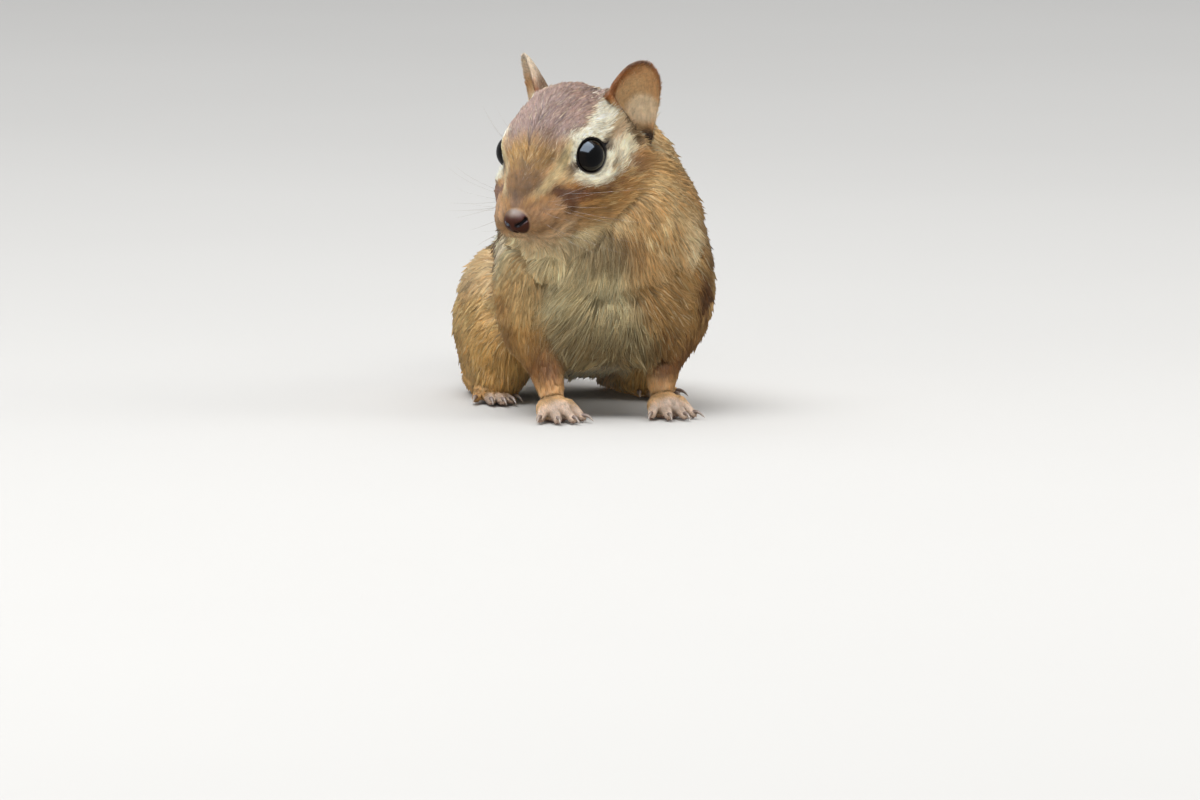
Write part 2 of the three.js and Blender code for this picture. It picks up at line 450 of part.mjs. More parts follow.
// Edges are closed up one by one, cheapest first, where the surface moves the
// least: each corner carries the planes of the faces that met there. Faces of
// the parting cuts keep their place closely, and the soles stay level.
const CUT_SLACK = 0.05, COAT_SLACK = 0.6;
function thin(mesh, target) {
  const V = [], T = [];
  for (let i = 0; i < mesh.vertProperties.length; i += 3) V.push([...mesh.vertProperties.slice(i, i + 3)]);
  for (let i = 0; i < mesh.triVerts.length; i += 3) T.push([...mesh.triVerts.slice(i, i + 3)]);
  const faces = V.map(() => new Set());
  T.forEach((t, i) => t.forEach((v) => faces[v].add(i)));
  const normal = (a, b, c) => cross(sub(b, a), sub(c, a));
  const Q = V.map(() => new Float64Array(11));
  for (const t of T) {
    const n0 = normal(...t.map((v) => V[v])), area = Math.hypot(...n0) / 2;
    if (area < 1e-12) continue;
    const [a, b, c] = unit(n0), d = -dot([a, b, c], V[t[0]]);
    const q = [a * a, a * b, a * c, a * d, b * b, b * c, b * d, c * c, c * d, d * d, 1];
    for (const v of t) for (let k = 0; k < 11; k++) Q[v][k] += q[k] * area;
  }
  const error = (q, [x, y, z]) => Math.abs(q[0] * x * x + 2 * q[1] * x * y + 2 * q[2] * x * z + 2 * q[3] * x + q[4] * y * y + 2 * q[5] * y * z + 2 * q[6] * y + q[7] * z * z + 2 * q[8] * z + q[9]);
  const best = (q, a, b) => {
    const A = [q[0], q[1], q[2]], B = [q[1], q[4], q[5]], C = [q[2], q[5], q[7]], det = dot(A, cross(B, C));
    const list = [a, b, mixv(a, b, 0.5)], scale = (q[0] + q[4] + q[7]) / 3;
    if (Math.abs(det) > 1e-3 * scale ** 3) {
      const r = [-q[3], -q[6], -q[8]];
      const p = mul(add(add(mul(cross(B, C), r[0]), mul(cross(C, A), r[1])), mul(cross(A, B), r[2])), 1 / det);
      if (Math.hypot(...sub(p, list[2])) < Math.hypot(...sub(a, b))) list.push(p);
    }
    return list.reduce((m, p) => { const e = error(q, p); return e < m.e ? { e, p } : m; }, { e: Infinity });
  };
  const slack = T.map((t) => {
    const m = mul(add(add(V[t[0]], V[t[1]]), V[t[2]]), 1 / 3);
    return m[2] < 0.01 || coat(m) < -0.35 ? CUT_SLACK : COAT_SLACK;
  });
  let count = T.length;
  for (let pass = 0; pass < 60; pass++) {
    const edges = [], seen = new Set();
    T.forEach((t) => t && t.forEach((v, i) => {
      const w = t[(i + 1) % 3], key = Math.min(v, w) * 1e6 + Math.max(v, w);
      if (seen.has(key)) return;
      seen.add(key);
      const q = Q[v].map((x, k) => x + Q[w][k]), L = Math.hypot(...sub(V[v], V[w])), o = best(q, V[v], V[w]);
      if (V[v][2] < 1e-4 || V[w][2] < 1e-4) o.p = [o.p[0], o.p[1], 0];
      edges.push({ v, w, q, p: o.p, L, cost: L < 0.06 ? -1 : o.e + 1e-5 * L * L });
    }));
    if (count <= target && !edges.some((e) => e.cost < 0)) break;
    edges.sort((a, b) => a.cost - b.cost);
    const touched = new Set();
    let done = 0;
    const most = Math.max(20, edges.length / 8);
    for (const { v, w, q, p, cost } of edges) {
      if ((count <= target && cost >= 0) || done > most) break;
      if (touched.has(v) || touched.has(w)) continue;
      const around = (x) => new Set([...faces[x]].flatMap((f) => T[f]).filter((y) => y !== x));
      const nv = around(v), nw = around(w), both = [...nv].filter((x) => nw.has(x));
      if (both.length !== 2) continue;
      let good = true;
      for (const x of [v, w]) for (const f of faces[x]) {
        const t = T[f];
        if (t.includes(v) && t.includes(w)) continue;
        const n0 = normal(...t.map((y) => V[y])), P = t.map((y) => (y === x ? p : V[y])), n1 = normal(...P);
        const l0 = Math.hypot(...n0), l1 = Math.hypot(...n1);
        const longest = Math.max(Math.hypot(...sub(P[0], P[1])), Math.hypot(...sub(P[1], P[2])), Math.hypot(...sub(P[2], P[0])));
        if (l0 > 1e-7 && Math.abs(dot(n0, sub(p, V[t[0]]))) > slack[f] * l0) { good = false; break; }
        if (l1 < 1e-7 || (l0 > 1e-7 && dot(n0, n1) < 0.35 * l0 * l1)) { good = false; break; }
        if (cost >= 0 && l1 / longest < 0.04 * longest && l1 / longest < 0.3) { good = false; break; }
      }
      if (!good) continue;
      for (const f of [...faces[w]]) {
        const t = T[f];
        if (t.includes(v)) { t.forEach((y) => faces[y].delete(f)); T[f] = null; count--; } else { T[f] = t.map((y) => (y === w ? v : y)); faces[v].add(f); }
      }
      faces[w].clear();
      V[v] = p; Q[v] = q;
      touched.add(v); nv.forEach((x) => touched.add(x)); nw.forEach((x) => touched.add(x));
      done++;
    }
    if (!done) break;
  }
  const map = new Map(), verts = [], tris = [];
  for (const t of T) if (t) for (const v of t) {
    if (!map.has(v)) { map.set(v, map.size); verts.push(...V[v]); }
    tris.push(map.get(v));
  }
  return { verts: new Float32Array(verts), tris: new Uint32Array(tris) };
}

const group = new THREE.Group();
group.name = 'chipmunk';
const stand = new THREE.Group();
group.add(stand);
const bounds = new THREE.Box3();
for (const [name, piece] of Object.entries(pieces)) {
  const mesh = thin(largest(piece).getMesh(), TRIANGLES[name.split('_')[0]]);
  const geometry = new THREE.BufferGeometry();
  geometry.setAttribute('position', new THREE.BufferAttribute(mesh.verts, 3));
  geometry.setIndex(new THREE.BufferAttribute(mesh.tris, 1));
  geometry.computeVertexNormals();
  geometry.computeBoundingBox();
  bounds.union(geometry.boundingBox);
  const kind = name.split('_')[0];
  const eyeball = kind === 'eye';
  const material = new THREE.MeshStandardMaterial({ color: COLOURS[kind], roughness: eyeball ? 0.05 : 0.9, metalness: 0 });
  const m = new THREE.Mesh(geometry, material);
  m.name = name;
  stand.add(m);
}
// origin at the middle of the footprint, on the floor
stand.position.set(-(bounds.min.x + bounds.max.x) / 2, -(bounds.min.y + bounds.max.y) / 2, 0);

export default group;
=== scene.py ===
"""Looks of the chipmunk model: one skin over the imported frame, its coat of solid
tufts, eyes, lids, nose, claws and whiskers. Lengths in the form are millimetres in
the model's own layout (+X the animal's left, -Y the way the trunk faces, +Z up);
put() moves them into the row frame in metres."""
import bpy
import math
import time
import numpy as np
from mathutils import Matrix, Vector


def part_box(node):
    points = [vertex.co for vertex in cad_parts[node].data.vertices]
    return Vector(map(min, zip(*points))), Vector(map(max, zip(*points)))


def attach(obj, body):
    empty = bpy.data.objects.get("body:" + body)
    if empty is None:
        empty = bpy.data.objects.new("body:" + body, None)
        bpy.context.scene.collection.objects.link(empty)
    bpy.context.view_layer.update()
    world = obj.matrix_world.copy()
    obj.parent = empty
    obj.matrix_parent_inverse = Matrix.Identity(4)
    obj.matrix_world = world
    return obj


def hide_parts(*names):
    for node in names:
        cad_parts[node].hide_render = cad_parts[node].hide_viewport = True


T0 = time.time()


def say(what):
    print(f"[{time.time() - T0:6.1f} s] {what}", flush=True)


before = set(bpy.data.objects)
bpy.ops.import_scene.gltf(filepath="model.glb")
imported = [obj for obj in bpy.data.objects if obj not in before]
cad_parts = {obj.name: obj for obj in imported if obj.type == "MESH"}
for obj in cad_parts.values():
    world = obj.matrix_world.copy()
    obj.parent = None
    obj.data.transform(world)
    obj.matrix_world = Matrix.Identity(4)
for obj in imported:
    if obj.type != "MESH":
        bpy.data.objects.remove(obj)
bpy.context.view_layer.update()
rng = np.random.default_rng(11)

# ---------------------------------------------------------------- small helpers
rad = math.radians


def vec(*a):
    return np.array(a, float)


def unit(v):
    v = np.asarray(v, float)
    return v / np.maximum(np.linalg.norm(v, axis=-1, keepdims=True), 1e-12)


def ramp(x, lo, hi):
    """0 below lo, 1 above hi, smooth between (lo may be above hi)."""
    t = np.clip((x - lo) / (hi - lo), 0, 1)
    return t * t * (3 - 2 * t)


def smin(a, b, k):
    h = np.maximum(k - np.abs(a - b), 0) / k
    return np.minimum(a, b) - h * h * k * 0.25


def smax(a, b, k):
    return -smin(-a, -b, k)


# ------------------------------------------------------------------ head's frame
HEAD_YAW, HEAD_PITCH = rad(49), rad(29)
HEAD_AT = vec(-13.7, -5.0, 60.2)
FWD = vec(-math.sin(HEAD_YAW) * math.cos(HEAD_PITCH), -math.cos(HEAD_YAW) * math.cos(HEAD_PITCH), -math.sin(HEAD_PITCH))
LEFT = vec(math.cos(HEAD_YAW), -math.sin(HEAD_YAW), 0)
UP = np.cross(FWD, LEFT)
HEAD = np.stack([FWD, LEFT, UP])
EYE_R, EYE_OUT = 4.25, 9.6


def on_head(a, b, c):
    return HEAD_AT + a * FWD + b * LEFT + c * UP


def dir_head(v, s=1):
    return unit(v[0] * FWD + s * v[1] * LEFT + v[2] * UP)


def to_head(p):
    return (p - HEAD_AT) @ HEAD.T


EYE_AT = {s: on_head(-0.9, s * EYE_OUT, 0.1) for s in (1, -1)}
EYE_AXIS = {s: dir_head((0.30, 0.93, 0.20), s) for s in (1, -1)}

# where the model's own layout sits in the row frame
SHIFT = sum((np.array(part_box(f"eye_{n}")[0]) + np.array(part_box(f"eye_{n}")[1])) * 500 - EYE_AT[s] for s, n in ((1, "L"), (-1, "R"))) / 2
if np.abs(SHIFT - vec(-15.8, -63.3, 0)).max() > 1.5:
    raise SystemExit("the packed eyes aren't where this script expects them")


def put(p):
    return (np.asarray(p) + SHIFT) / 1000


# --------------------------------------------------------------------- the forms
TRUNK, NECK, SKULL, ARM, FOREARM, FOREFOOT, THIGH, HINDFOOT, TAIL, NOSE = range(10)
GROUPS = 10
BODY = np.eye(3)
FOREFOOT_X, HINDFOOT_X, PELVIS_X = 13.2, 19.3, 4.0
FORE_TOES = [(-4.7, -14.0), (-1.75, -17.2), (1.75, -17.2), (4.7, -14.0)]
HIND_TOES = [(-4.6, 30.5), (-2.4, 25.5), (0, 24), (2.4, 25.5), (4.6, 30.5)]
TAIL_PATH = [vec(5, 70, 15), vec(2, 104, 6), vec(26, 122, 8.4), vec(55, 143, 7.2)]


def yawed(deg):
    t = rad(deg)
    return np.array([[math.cos(t), -math.sin(t), 0], [math.sin(t), math.cos(t), 0], [0, 0, 1]])


def bezier(t):
    t = np.asarray(t, float)[..., None]
    P = TAIL_PATH
    return (1 - t) ** 3 * P[0] + 3 * (1 - t) ** 2 * t * P[1] + 3 * (1 - t) * t * t * P[2] + t ** 3 * P[3]


def tail_r(t):
    t = np.asarray(t, float)
    return 5.5 + 4.3 * np.sin(np.minimum(t / 0.62, 1) * np.pi / 2) - np.where(t > 0.62, 6.2 * ((t - 0.62) / 0.38) ** 2, 0)


def tail_core(t):
    return 3.7 - 2.3 * np.asarray(t, float)


def fore_toe(s, i):
    dx, dy = FORE_TOES[i]
    return vec(s * FOREFOOT_X + dx * 0.62, -9.6, 3.7), vec(s * FOREFOOT_X + dx * 1.05, dy + 0.8, 1.15)


def hind_toe(s, i):
    dx, dy = HIND_TOES[i]
    return vec(PELVIS_X + s * HINDFOOT_X + dx * 0.62, 36, 2.4), vec(PELVIS_X + s * (HINDFOOT_X + 0.5) + dx, dy + 1, 1.3)


def make_forms():
    F = []

    def ell(c, r, axes, k, g, d):
        F.append(dict(c=vec(*c), r=vec(*r), axes=axes, k=k, g=g, d=d, ball=(vec(*c), max(r))))

    def cone(a, b, ra, rb, k, g, d):
        a, b = np.asarray(a, float), np.asarray(b, float)
        F.append(dict(a=a, b=b, ra=ra, rb=rb, k=k, g=g, d=d, ball=((a + b) / 2, np.linalg.norm(b - a) / 2 + max(ra, rb))))

    ell((5.5, 53, 23.5), (18, 24, 20.5), BODY, 0.1, TRUNK, 3.8)
    ell((6.0, 33, 27), (19.5, 22, 21), yawed(3), 9, TRUNK, 3.8)
    ell((6.8, 32, 37), (12, 26, 17), yawed(3), 8, TRUNK, 3.6)
    ell((5.0, 21, 47), (14.5, 17, 13.5), yawed(8), 8, TRUNK, 3.6)
    ell((3.6, 11, 33.2), (25.0, 18, 24), yawed(10), 12, TRUNK, 3.6)
    ell((3.0, 6, 46), (20.3, 15, 15.4), yawed(17), 10, TRUNK, 3.6)
    ell((0.5, -4, 24), (18, 9, 13), yawed(12), 8, TRUNK, 3.8)
    ell((5.0, 9.5, 58), (13.5, 13, 14), yawed(20), 8, NECK, 3.4)
    cone(on_head(-10, 0, -11), (1.5, 4, 44), 13.5, 17.6, 10, NECK, 3.2)
    he = lambda c, r, k, g=SKULL: ell(on_head(*c), r, HEAD, k, g, 0)
    hc = lambda a, b, ra, rb, k: cone(on_head(*a), on_head(*b), ra, rb, k, SKULL, 0)
    he((-8.5, 0, -1.5), (15.5, 13.0, 13.2), 5)
    hc((-1, 0, 0), (9.5, 0, -3.9), 9.6, 6.6, 4)
    hc((9, 0, -4.8), (16.8, 0, -5.8), 6.2, 3.9, 3)
    for s in (1, -1):
        he((11.0, s * 4.2, -7.9), (7.8, 5.0, 5.5), 2.5)
        he((4.0, s * 6.6, -8.0), (8.0, 6.0, 6.8), 3)
        he((-4.5, s * 9.2, -8.8), (11.5, 7.0, 9.6), 4)
        he((-1.5, s * 6.6, 3.6), (6.5, 3.6, 3.4), 3)
    hc((11.0, 0, -11.2), (-4, 0, -12.6), 4.0, 9.6, 3)
    ell(on_head(6.0, 0, -15.6), (6.5, 7.5, 6.0), HEAD, 5, NECK, 1.9)
    he((19.0, 0, -5.3), (2.0, 2.9, 2.6), 0.8, NOSE)
    for s in (1, -1):
        ell((2 + s * 18.5, 4, 27), (7.5, 9, 14), yawed(10), 6, ARM, 3.0)
        cone((1.5 + s * 15.5, 3, 20), (s * FOREFOOT_X, -4.5, 7.5), 6.6, 3.3, 4, FOREARM, 1.3)
        ell((s * FOREFOOT_X, -8, 2.65), (4.3, 5.6, 3.3), BODY, 2, FOREFOOT, 0.4)
        for i in range(4):
            cone(*fore_toe(s, i), 1.55, 1.05, 0.7, FOREFOOT, 0.25)
        ell((4.6 + s * 15.5, 47, 17.5), (9.6, 18, 17.5), BODY, 6, THIGH, 3.6)
        ell((4.2 + s * 17.2, 37, 12.5), (8.2, 11.5, 11.5), BODY, 4, THIGH, 3.2)
        cone((4.2 + s * 16.5, 58, 4), (4 + s * 19, 36, 3.2), 4.0, 3.4, 3, HINDFOOT, 0.5)
        for i in range(5):
            cone(*hind_toe(s, i), 1.7, 1.1, 0.8, HINDFOOT, 0.3)
    for i in range(12):
        t0, t1 = i / 12, (i + 1) / 12
        r0, r1 = float(tail_r(t0)), float(tail_r(t1))
        F.append(dict(a=bezier(t0), b=bezier(t1), ra=r0, rb=r1, k=3, g=TAIL, d=(r0 + r1) / 2 - float(tail_core((t0 + t1) / 2)),
                      ball=((bezier(t0) + bezier(t1)) / 2, np.linalg.norm(bezier(t1) - bezier(t0)) / 2 + max(r0, r1))))
    return F


FORMS = make_forms()


def d_form(p, q):
    if "r" in q:
        x = (p - q["c"]) @ q["axes"].T
        k0 = np.sqrt(((x / q["r"]) ** 2).sum(1))
        k1 = np.sqrt(((x / (q["r"] ** 2)) ** 2).sum(1))
        return k0 * (k0 - 1) / np.maximum(k1, 1e-9)
    ba = q["b"] - q["a"]
    l2 = ba @ ba
    rr = q["ra"] - q["rb"]
    a2 = l2 - rr * rr
    pa = p - q["a"]
    y = pa @ ba
    z = y - l2
    x2 = ((pa * l2 - y[:, None] * ba) ** 2).sum(1)
    y2, z2, k = y * y * l2, z * z * l2, np.sign(rr) * rr * rr * x2
    d = (np.sqrt(x2 * a2 / l2) + y * rr) / l2 - q["ra"]
    d = np.where(np.sign(z) * a2 * z2 > k, np.sqrt(x2 + z2) / l2 - q["rb"], np.where(np.sign(y) * a2 * y2 < k, np.sqrt(x2 + y2) / l2 - q["ra"], d))
    return d


SLIT = [(-16.2, 11.9, 1.2, -0.5), (-16.1, 13.4, -1.9, 0.2), (-16.4, 14.7, -4.0, 0.9), (-16.8, 16.0, -6.4, 0.4)]


def slit_distance(h):
    """Distance to the line of the ear's opening, from its root down to the notch (both sides)."""
    q = np.stack([h[:, 0], np.abs(h[:, 1]), h[:, 2]], 1)
    best = np.full(len(h), 1e9)
    for i in range(len(SLIT) - 1):
        A, B = np.array(SLIT[i][:3]), np.array(SLIT[i + 1][:3])
        ba = B - A
        t = np.clip((q - A) @ ba / (ba @ ba), 0, 1)
        best = np.minimum(best, np.linalg.norm(q - A - t[:, None] * ba, axis=1) - SLIT[i][3] - t * (SLIT[i + 1][3] - SLIT[i][3]))
    return best


EAR_BASE = [(-14.9, 10.3, 8.1), (-16.3, 12.9, 0.2), (-15.6, 16.2, -5.6)]


def base_distance(h):
    """Distance to the line along which each ear stands on the head."""
    q = np.stack([h[:, 0], np.abs(h[:, 1]), h[:, 2]], 1)
    best = np.full(len(h), 1e9)
    for i in range(len(EAR_BASE) - 1):
        A, B = np.array(EAR_BASE[i]), np.array(EAR_BASE[i + 1])
        ba = B - A
        t = np.clip((q - A) @ ba / (ba @ ba), 0, 1)
        best = np.minimum(best, np.linalg.norm(q - A - t[:, None] * ba, axis=1))
    return best


def head_depth(h):
    """How deep the coat is over the head, by place."""
    a, b, c = h[:, 0], np.abs(h[:, 1]), h[:, 2]
    d = 1.25 + 1.5 * ramp(c, -4, -11) * ramp(a, 7, -4) + 0.7 * ramp(c, -11, -14.5) * ramp(a, 12, 5) + 0.9 * ramp(a, -9, -19)
    m = ramp(a, 3, 12)
    d = d * (1 - m) + (0.55 + 0.5 * ramp(c, -10, -13)) * m
    rho = np.sqrt((a + 0.9) ** 2 + (b - EYE_OUT) ** 2 + (c - 0.1) ** 2)
    e = ramp(rho, 9.5, 5.4)
    d = d * (1 - e) + 0.3 * e
    e = ramp(base_distance(h), 6.5, 2.5)
    return d * (1 - e) + 0.5 * e


def evaluate(p, block=8.0):
    """The CAD coat surface's signed distance, the weight of each group, and the coat's depth."""
    n = len(p)
    C, W, N = np.empty(n), np.zeros((n, GROUPS)), np.zeros(n)
    key = np.floor(p / block).astype(np.int64)
    key -= key.min(0)
    dims = key.max(0) + 1
    flat = (key[:, 0] * dims[1] + key[:, 1]) * dims[2] + key[:, 2]
    order = np.argsort(flat, kind="stable")
    parts = np.split(order, np.flatnonzero(np.diff(flat[order])) + 1)
    mids, radii = [], []
    for idx in parts:
        q = p[idx]
        mid = (q.min(0) + q.max(0)) / 2
        mids.append(mid)
        radii.append(np.linalg.norm(q.max(0) - mid))
    mids, radii = np.array(mids), np.array(radii)
    D = np.stack([d_form(mids, f) for f in FORMS], 1)
    best = D.min(1) + radii
    use = D - radii[:, None] * 1.2 < best[:, None] + 13
    for b, idx in enumerate(parts):
        q = p[idx]
        d, w, num = None, np.zeros((len(q), GROUPS)), np.zeros(len(q))
        for i in np.flatnonzero(use[b]):
            f = FORMS[i]
            e = d_form(q, f)
            d = e if d is None else smin(d, e, f["k"])
            x = np.exp(-np.clip(e, -25, 40) / 1.8)
            w[:, f["g"]] += x
            num += x * f["d"]
        C[idx] = d
        W[idx] = w
        N[idx] = num
    total = W.sum(1)
    W /= total[:, None]
    depth = N / total + W[:, SKULL] * head_depth(to_head(p)) + W[:, NOSE] * 0.05
    return C, W, depth


# ------------------------------------------------------------------------- ears
EAR_DEEP = 3.6
EAR_RIM = [(-100, 8.8), (-90, 8.6), (-60, 6.2), (-30, 6.2), (0, 8.4), (20, 12.1), (41, 15.3), (55, 13.5), (67, 11.3), (90, 8.2), (100, 8.0)]
_t = np.linspace(-100, 100, 201)
_r = np.interp(_t, [r[0] for r in EAR_RIM], [r[1] for r in EAR_RIM])
_k = np.exp(-0.5 * (np.arange(-24, 25) / 9.0) ** 2)
EAR_T, EAR_RAD = _t, np.convolve(np.pad(_r, 24, mode="edge"), _k / _k.sum(), mode="valid")
EAR = {1: ((-16.2, 12.8, 0.1), (-0.648, 0.694, 0.318), (0.150, -0.293, 0.946)),
       -1: ((-16.2, 12.0, 0.1), (-0.690, 0.595, 0.412), (0.190, -0.400, 0.897))}


def ear_frame(s):
    at, out, up = EAR[s]
    o = dir_head(out, s)
    u = dir_head(up, s)
    u = unit(u - o * (u @ o))
    n = np.cross(u, o)
    if n @ FWD < 0:
        n = -n
    return on_head(at[0], s * at[1], at[2]), o, u, n


EARS = {s: ear_frame(s) for s in (1, -1)}


def ear_local(p, s):
    at, o, u, n = EARS[s]
    q = p - at
    return q @ o, q @ u, q @ n


def ear_shell(p, s, thick=1.0, shrink=0.3):
    """Signed distance to the ear's cupped shell with its rounded rim, rolled over along the front edge."""
    x, y, z = ear_local(p, s)
    lo = np.interp(y, [2.5, 6.5], [-3.0, -0.5])
    rho, th = np.hypot(np.maximum(x, lo), y), np.degrees(np.arctan2(y, np.maximum(x, 1e-6)))
    R = np.interp(th, EAR_T, EAR_RAD)
    tc = np.minimum(rho / np.maximum(R, 0.1), 1.0)
    zs = -EAR_DEEP * (1 - tc ** 2.2)
    slope = EAR_DEEP * 2.2 * tc ** 1.2 / np.maximum(R, 0.1)
    width = thick * (1.15 - 0.25 * tc)
    over = np.maximum(rho - (R - shrink - width / 2), 0) / 1.05
    d = np.sqrt((z - zs) ** 2 / (1 + slope ** 2) + over ** 2 + np.maximum(lo - x, 0) ** 2) - width / 2
    k = ramp(th, 5, 45) * ramp(th, 100, 90)
    lip = np.hypot((rho - R + 0.75) / 1.1, z - zs - 0.40) - 0.55 * k
    return smin(d, np.where(k > 0.05, lip, 9.0), 0.6)


def ear_hollow(p, s):
    """Signed distance to the space in the ear's cup, which opens the head at its foot."""
    x, y, z = ear_local(p, s)
    rho, th = np.hypot(np.maximum(x, 0), y), np.degrees(np.arctan2(y, np.maximum(x, 1e-6)))
    R = np.interp(th, EAR_T, EAR_RAD)
    zs = -EAR_DEEP * (1 - np.minimum(rho / R, 1) ** 2.2)
    d = smax(rho - (R - 0.9), np.interp(y, [-3, 0], [-0.25, 0.2]) - x, 0.6)
    return smax(d, np.maximum(zs + 0.45 - z, z - 4.0), 0.6)


def ear_front(p, s):
    """Signed distance to the low wall before the cup, from the rim's front end down to the opening."""
    x, y, z = ear_local(p, s)
    top = np.interp(y, [-3.5, -1, 1, 3, 5, 7.4], [-0.6, -0.2, -0.3, -0.4, -0.3, 0.1])
    mid = np.interp(y, [-3.5, 3, 7.4], [-0.55, -0.65, -0.35])
    r = np.interp(y, [-3.5, 0, 5, 7.4], [0.35, 0.6, 0.65, 0.55])
    q = np.stack([x - mid, y - np.clip(y, -2.6, 7.2), z - np.clip(z, -3.4, top)], 1)
    return np.linalg.norm(q, axis=1) - r


def capsule(p, a, b, r):
    ba = b - a
    t = np.clip((p - a) @ ba / (ba @ ba), 0, 1)
    return np.linalg.norm(p - a - t[:, None] * ba, axis=1) - r


def ball_ell(p, c, r, axes):
    x = (p - c) @ axes.T
    r = np.asarray(r, float)
    k0 = np.sqrt(((x / r) ** 2).sum(1))
    k1 = np.sqrt(((x / (r ** 2)) ** 2).sum(1))
    return k0 * (k0 - 1) / np.maximum(k1, 1e-9)


def ear_point(s, x, y, z):
    at, o, u, n = EARS[s]
    return at + x * o + y * u + z * n


LID_OFF, LID_TUBE = 1.5, 0.42
LID_R = math.sqrt(EYE_R ** 2 - LID_OFF ** 2)
MOUTH = [(17.9, 0.0, -9.6), (15.6, 2.0, -12.0), (12.8, 4.6, -13.4), (9.8, 7.2, -13.4), (8.2, 8.8, -12.7)]


FOLD = None


def fold_at(p):
    """1 in the folds between forms, 0 elsewhere."""
    return sample(FOLD, (CX, CY, CZ), p)


def skin_field(p, give=False):
    """The bare skin's signed distance: the coat's surface less its depth, with ears, eye sockets, lids, nose and mouth."""
    C, W, depth = evaluate(p)
    depth = depth * (1 - 0.72 * fold_at(p))
    S = C + depth
    body = S.copy()
    shell = np.full(len(p), 9.0)
    for s in (1, -1):
        at = EARS[s][0]
        m = ((p - at) ** 2).sum(1) < 21.0 ** 2
        if m.any():
            q = p[m]
            d = ear_shell(q, s)
            wall = ear_front(q, s)
            shell[m] = np.minimum(shell[m], np.minimum(d, wall))
            v = smax(S[m], -ear_hollow(q, s), 0.9)
            v = smin(v, d, 1.3)
            v = smin(v, wall, 1.2)
            S[m] = v
        c, o = EYE_AT[s], EYE_AXIS[s]
        m = ((p - c) ** 2).sum(1) < 13.0 ** 2
        if m.any():
            q = p[m] - c
            x = q @ o
            y = np.linalg.norm(q - x[:, None] * o, axis=1)
            r = np.linalg.norm(q, axis=1)
            u = dir_head((0, 0, 1), s)
            axes = np.stack([o, unit(np.cross(o, u)), unit(np.cross(o, np.cross(o, u)))])
            v = smax(S[m], -ball_ell(p[m], c + o * 3.5, (3.0, 5.1, 5.1), axes), 1.6)
            v = smin(v, np.hypot(x - LID_OFF, y - LID_R) - LID_TUBE, 1.1)
            S[m] = smax(v, (EYE_R - 0.12) - r, 0.2)
    h = to_head(p)
    m = (h[:, 0] > 4) & (np.abs(h[:, 1]) < 14) & (np.abs(h[:, 2] + 6) < 12)
    if m.any():
        q, hh, v = p[m], h[m], S[m]
        for s in (1, -1):
            v = smax(v, -capsule(hh, vec(20.6, s * 1.15, -5.5), vec(18.6, s * 2.5, -4.9), 0.42), 0.45)
            for i in range(len(MOUTH) - 1):
                A, B = np.array(MOUTH[i]) * [1, s, 1], np.array(MOUTH[i + 1]) * [1, s, 1]
                v = smax(v, -capsule(hh, A, B, 0.35), 0.7)
        v = smax(v, -capsule(hh, vec(20.2, 0, -7.2), vec(17.2, 0, -9.8), 0.28), 0.6)
        S[m] = v
    S = smax(S, 0.06 - p[:, 2], 0.3)
    if give:
        return S, C, W, depth, ramp(body - shell, -0.6, 0.6)
    return S


# ----------------------------------------------------- the skin as a closed mesh
def axis(parts):
    out = [parts[0][0]]
    for a, b, h in parts:
        n = max(1, int(round((b - a) / h)))
        out += list(np.linspace(a, b, n + 1)[1:])
    # a whole number of groups of four
    while (len(out) - 1) % 4:
        out.append(out[-1] + parts[-1][2])
    return np.array(out)


GX = axis([(-29, 12.8, 0.432), (12.8, 20, 0.7), (20, 60, 1.05)])
GY = axis([(-20, 20.6, 0.432), (20.6, 148, 1.05)])
GZ = axis([(-1.2, 9, 0.5), (9, 44, 0.95), (44, 84.6, 0.432)])


def spread(V, axes_from, axes_to):
    """Linear interpolation of a grid onto finer axes."""
    for d in range(3):
        a, b = axes_from[d], axes_to[d]
        i = np.clip(np.searchsorted(a, b, side="right") - 1, 0, len(a) - 2)
        t = (b - a[i]) / (a[i + 1] - a[i])
        shape = [1, 1, 1]
        shape[d] = len(b)
        t = t.reshape(shape)
        V = np.take(V, i, axis=d) * (1 - t) + np.take(V, i + 1, axis=d) * t
    return V


CX, CY, CZ = GX[::4], GY[::4], GZ[::4]
P = np.stack(np.meshgrid(CX, CY, CZ, indexing="ij"), -1).reshape(-1, 3)
def sample(V, axes, p):
    """Trilinear look-up of a grid at points."""
    idx, fr = [], []
    for d in range(3):
        g = axes[d]
        u = np.interp(p[:, d], g, np.arange(len(g)))
        i = np.clip(u.astype(int), 0, len(g) - 2)
        idx.append(i)
        fr.append(u - i)
    out = 0
    for cx in (0, 1):
        for cy in (0, 1):
            for cz in (0, 1):
                w = (fr[0] if cx else 1 - fr[0]) * (fr[1] if cy else 1 - fr[1]) * (fr[2] if cz else 1 - fr[2])
                out = out + w * V[idx[0] + cx, idx[1] + cy, idx[2] + cz]
    return out


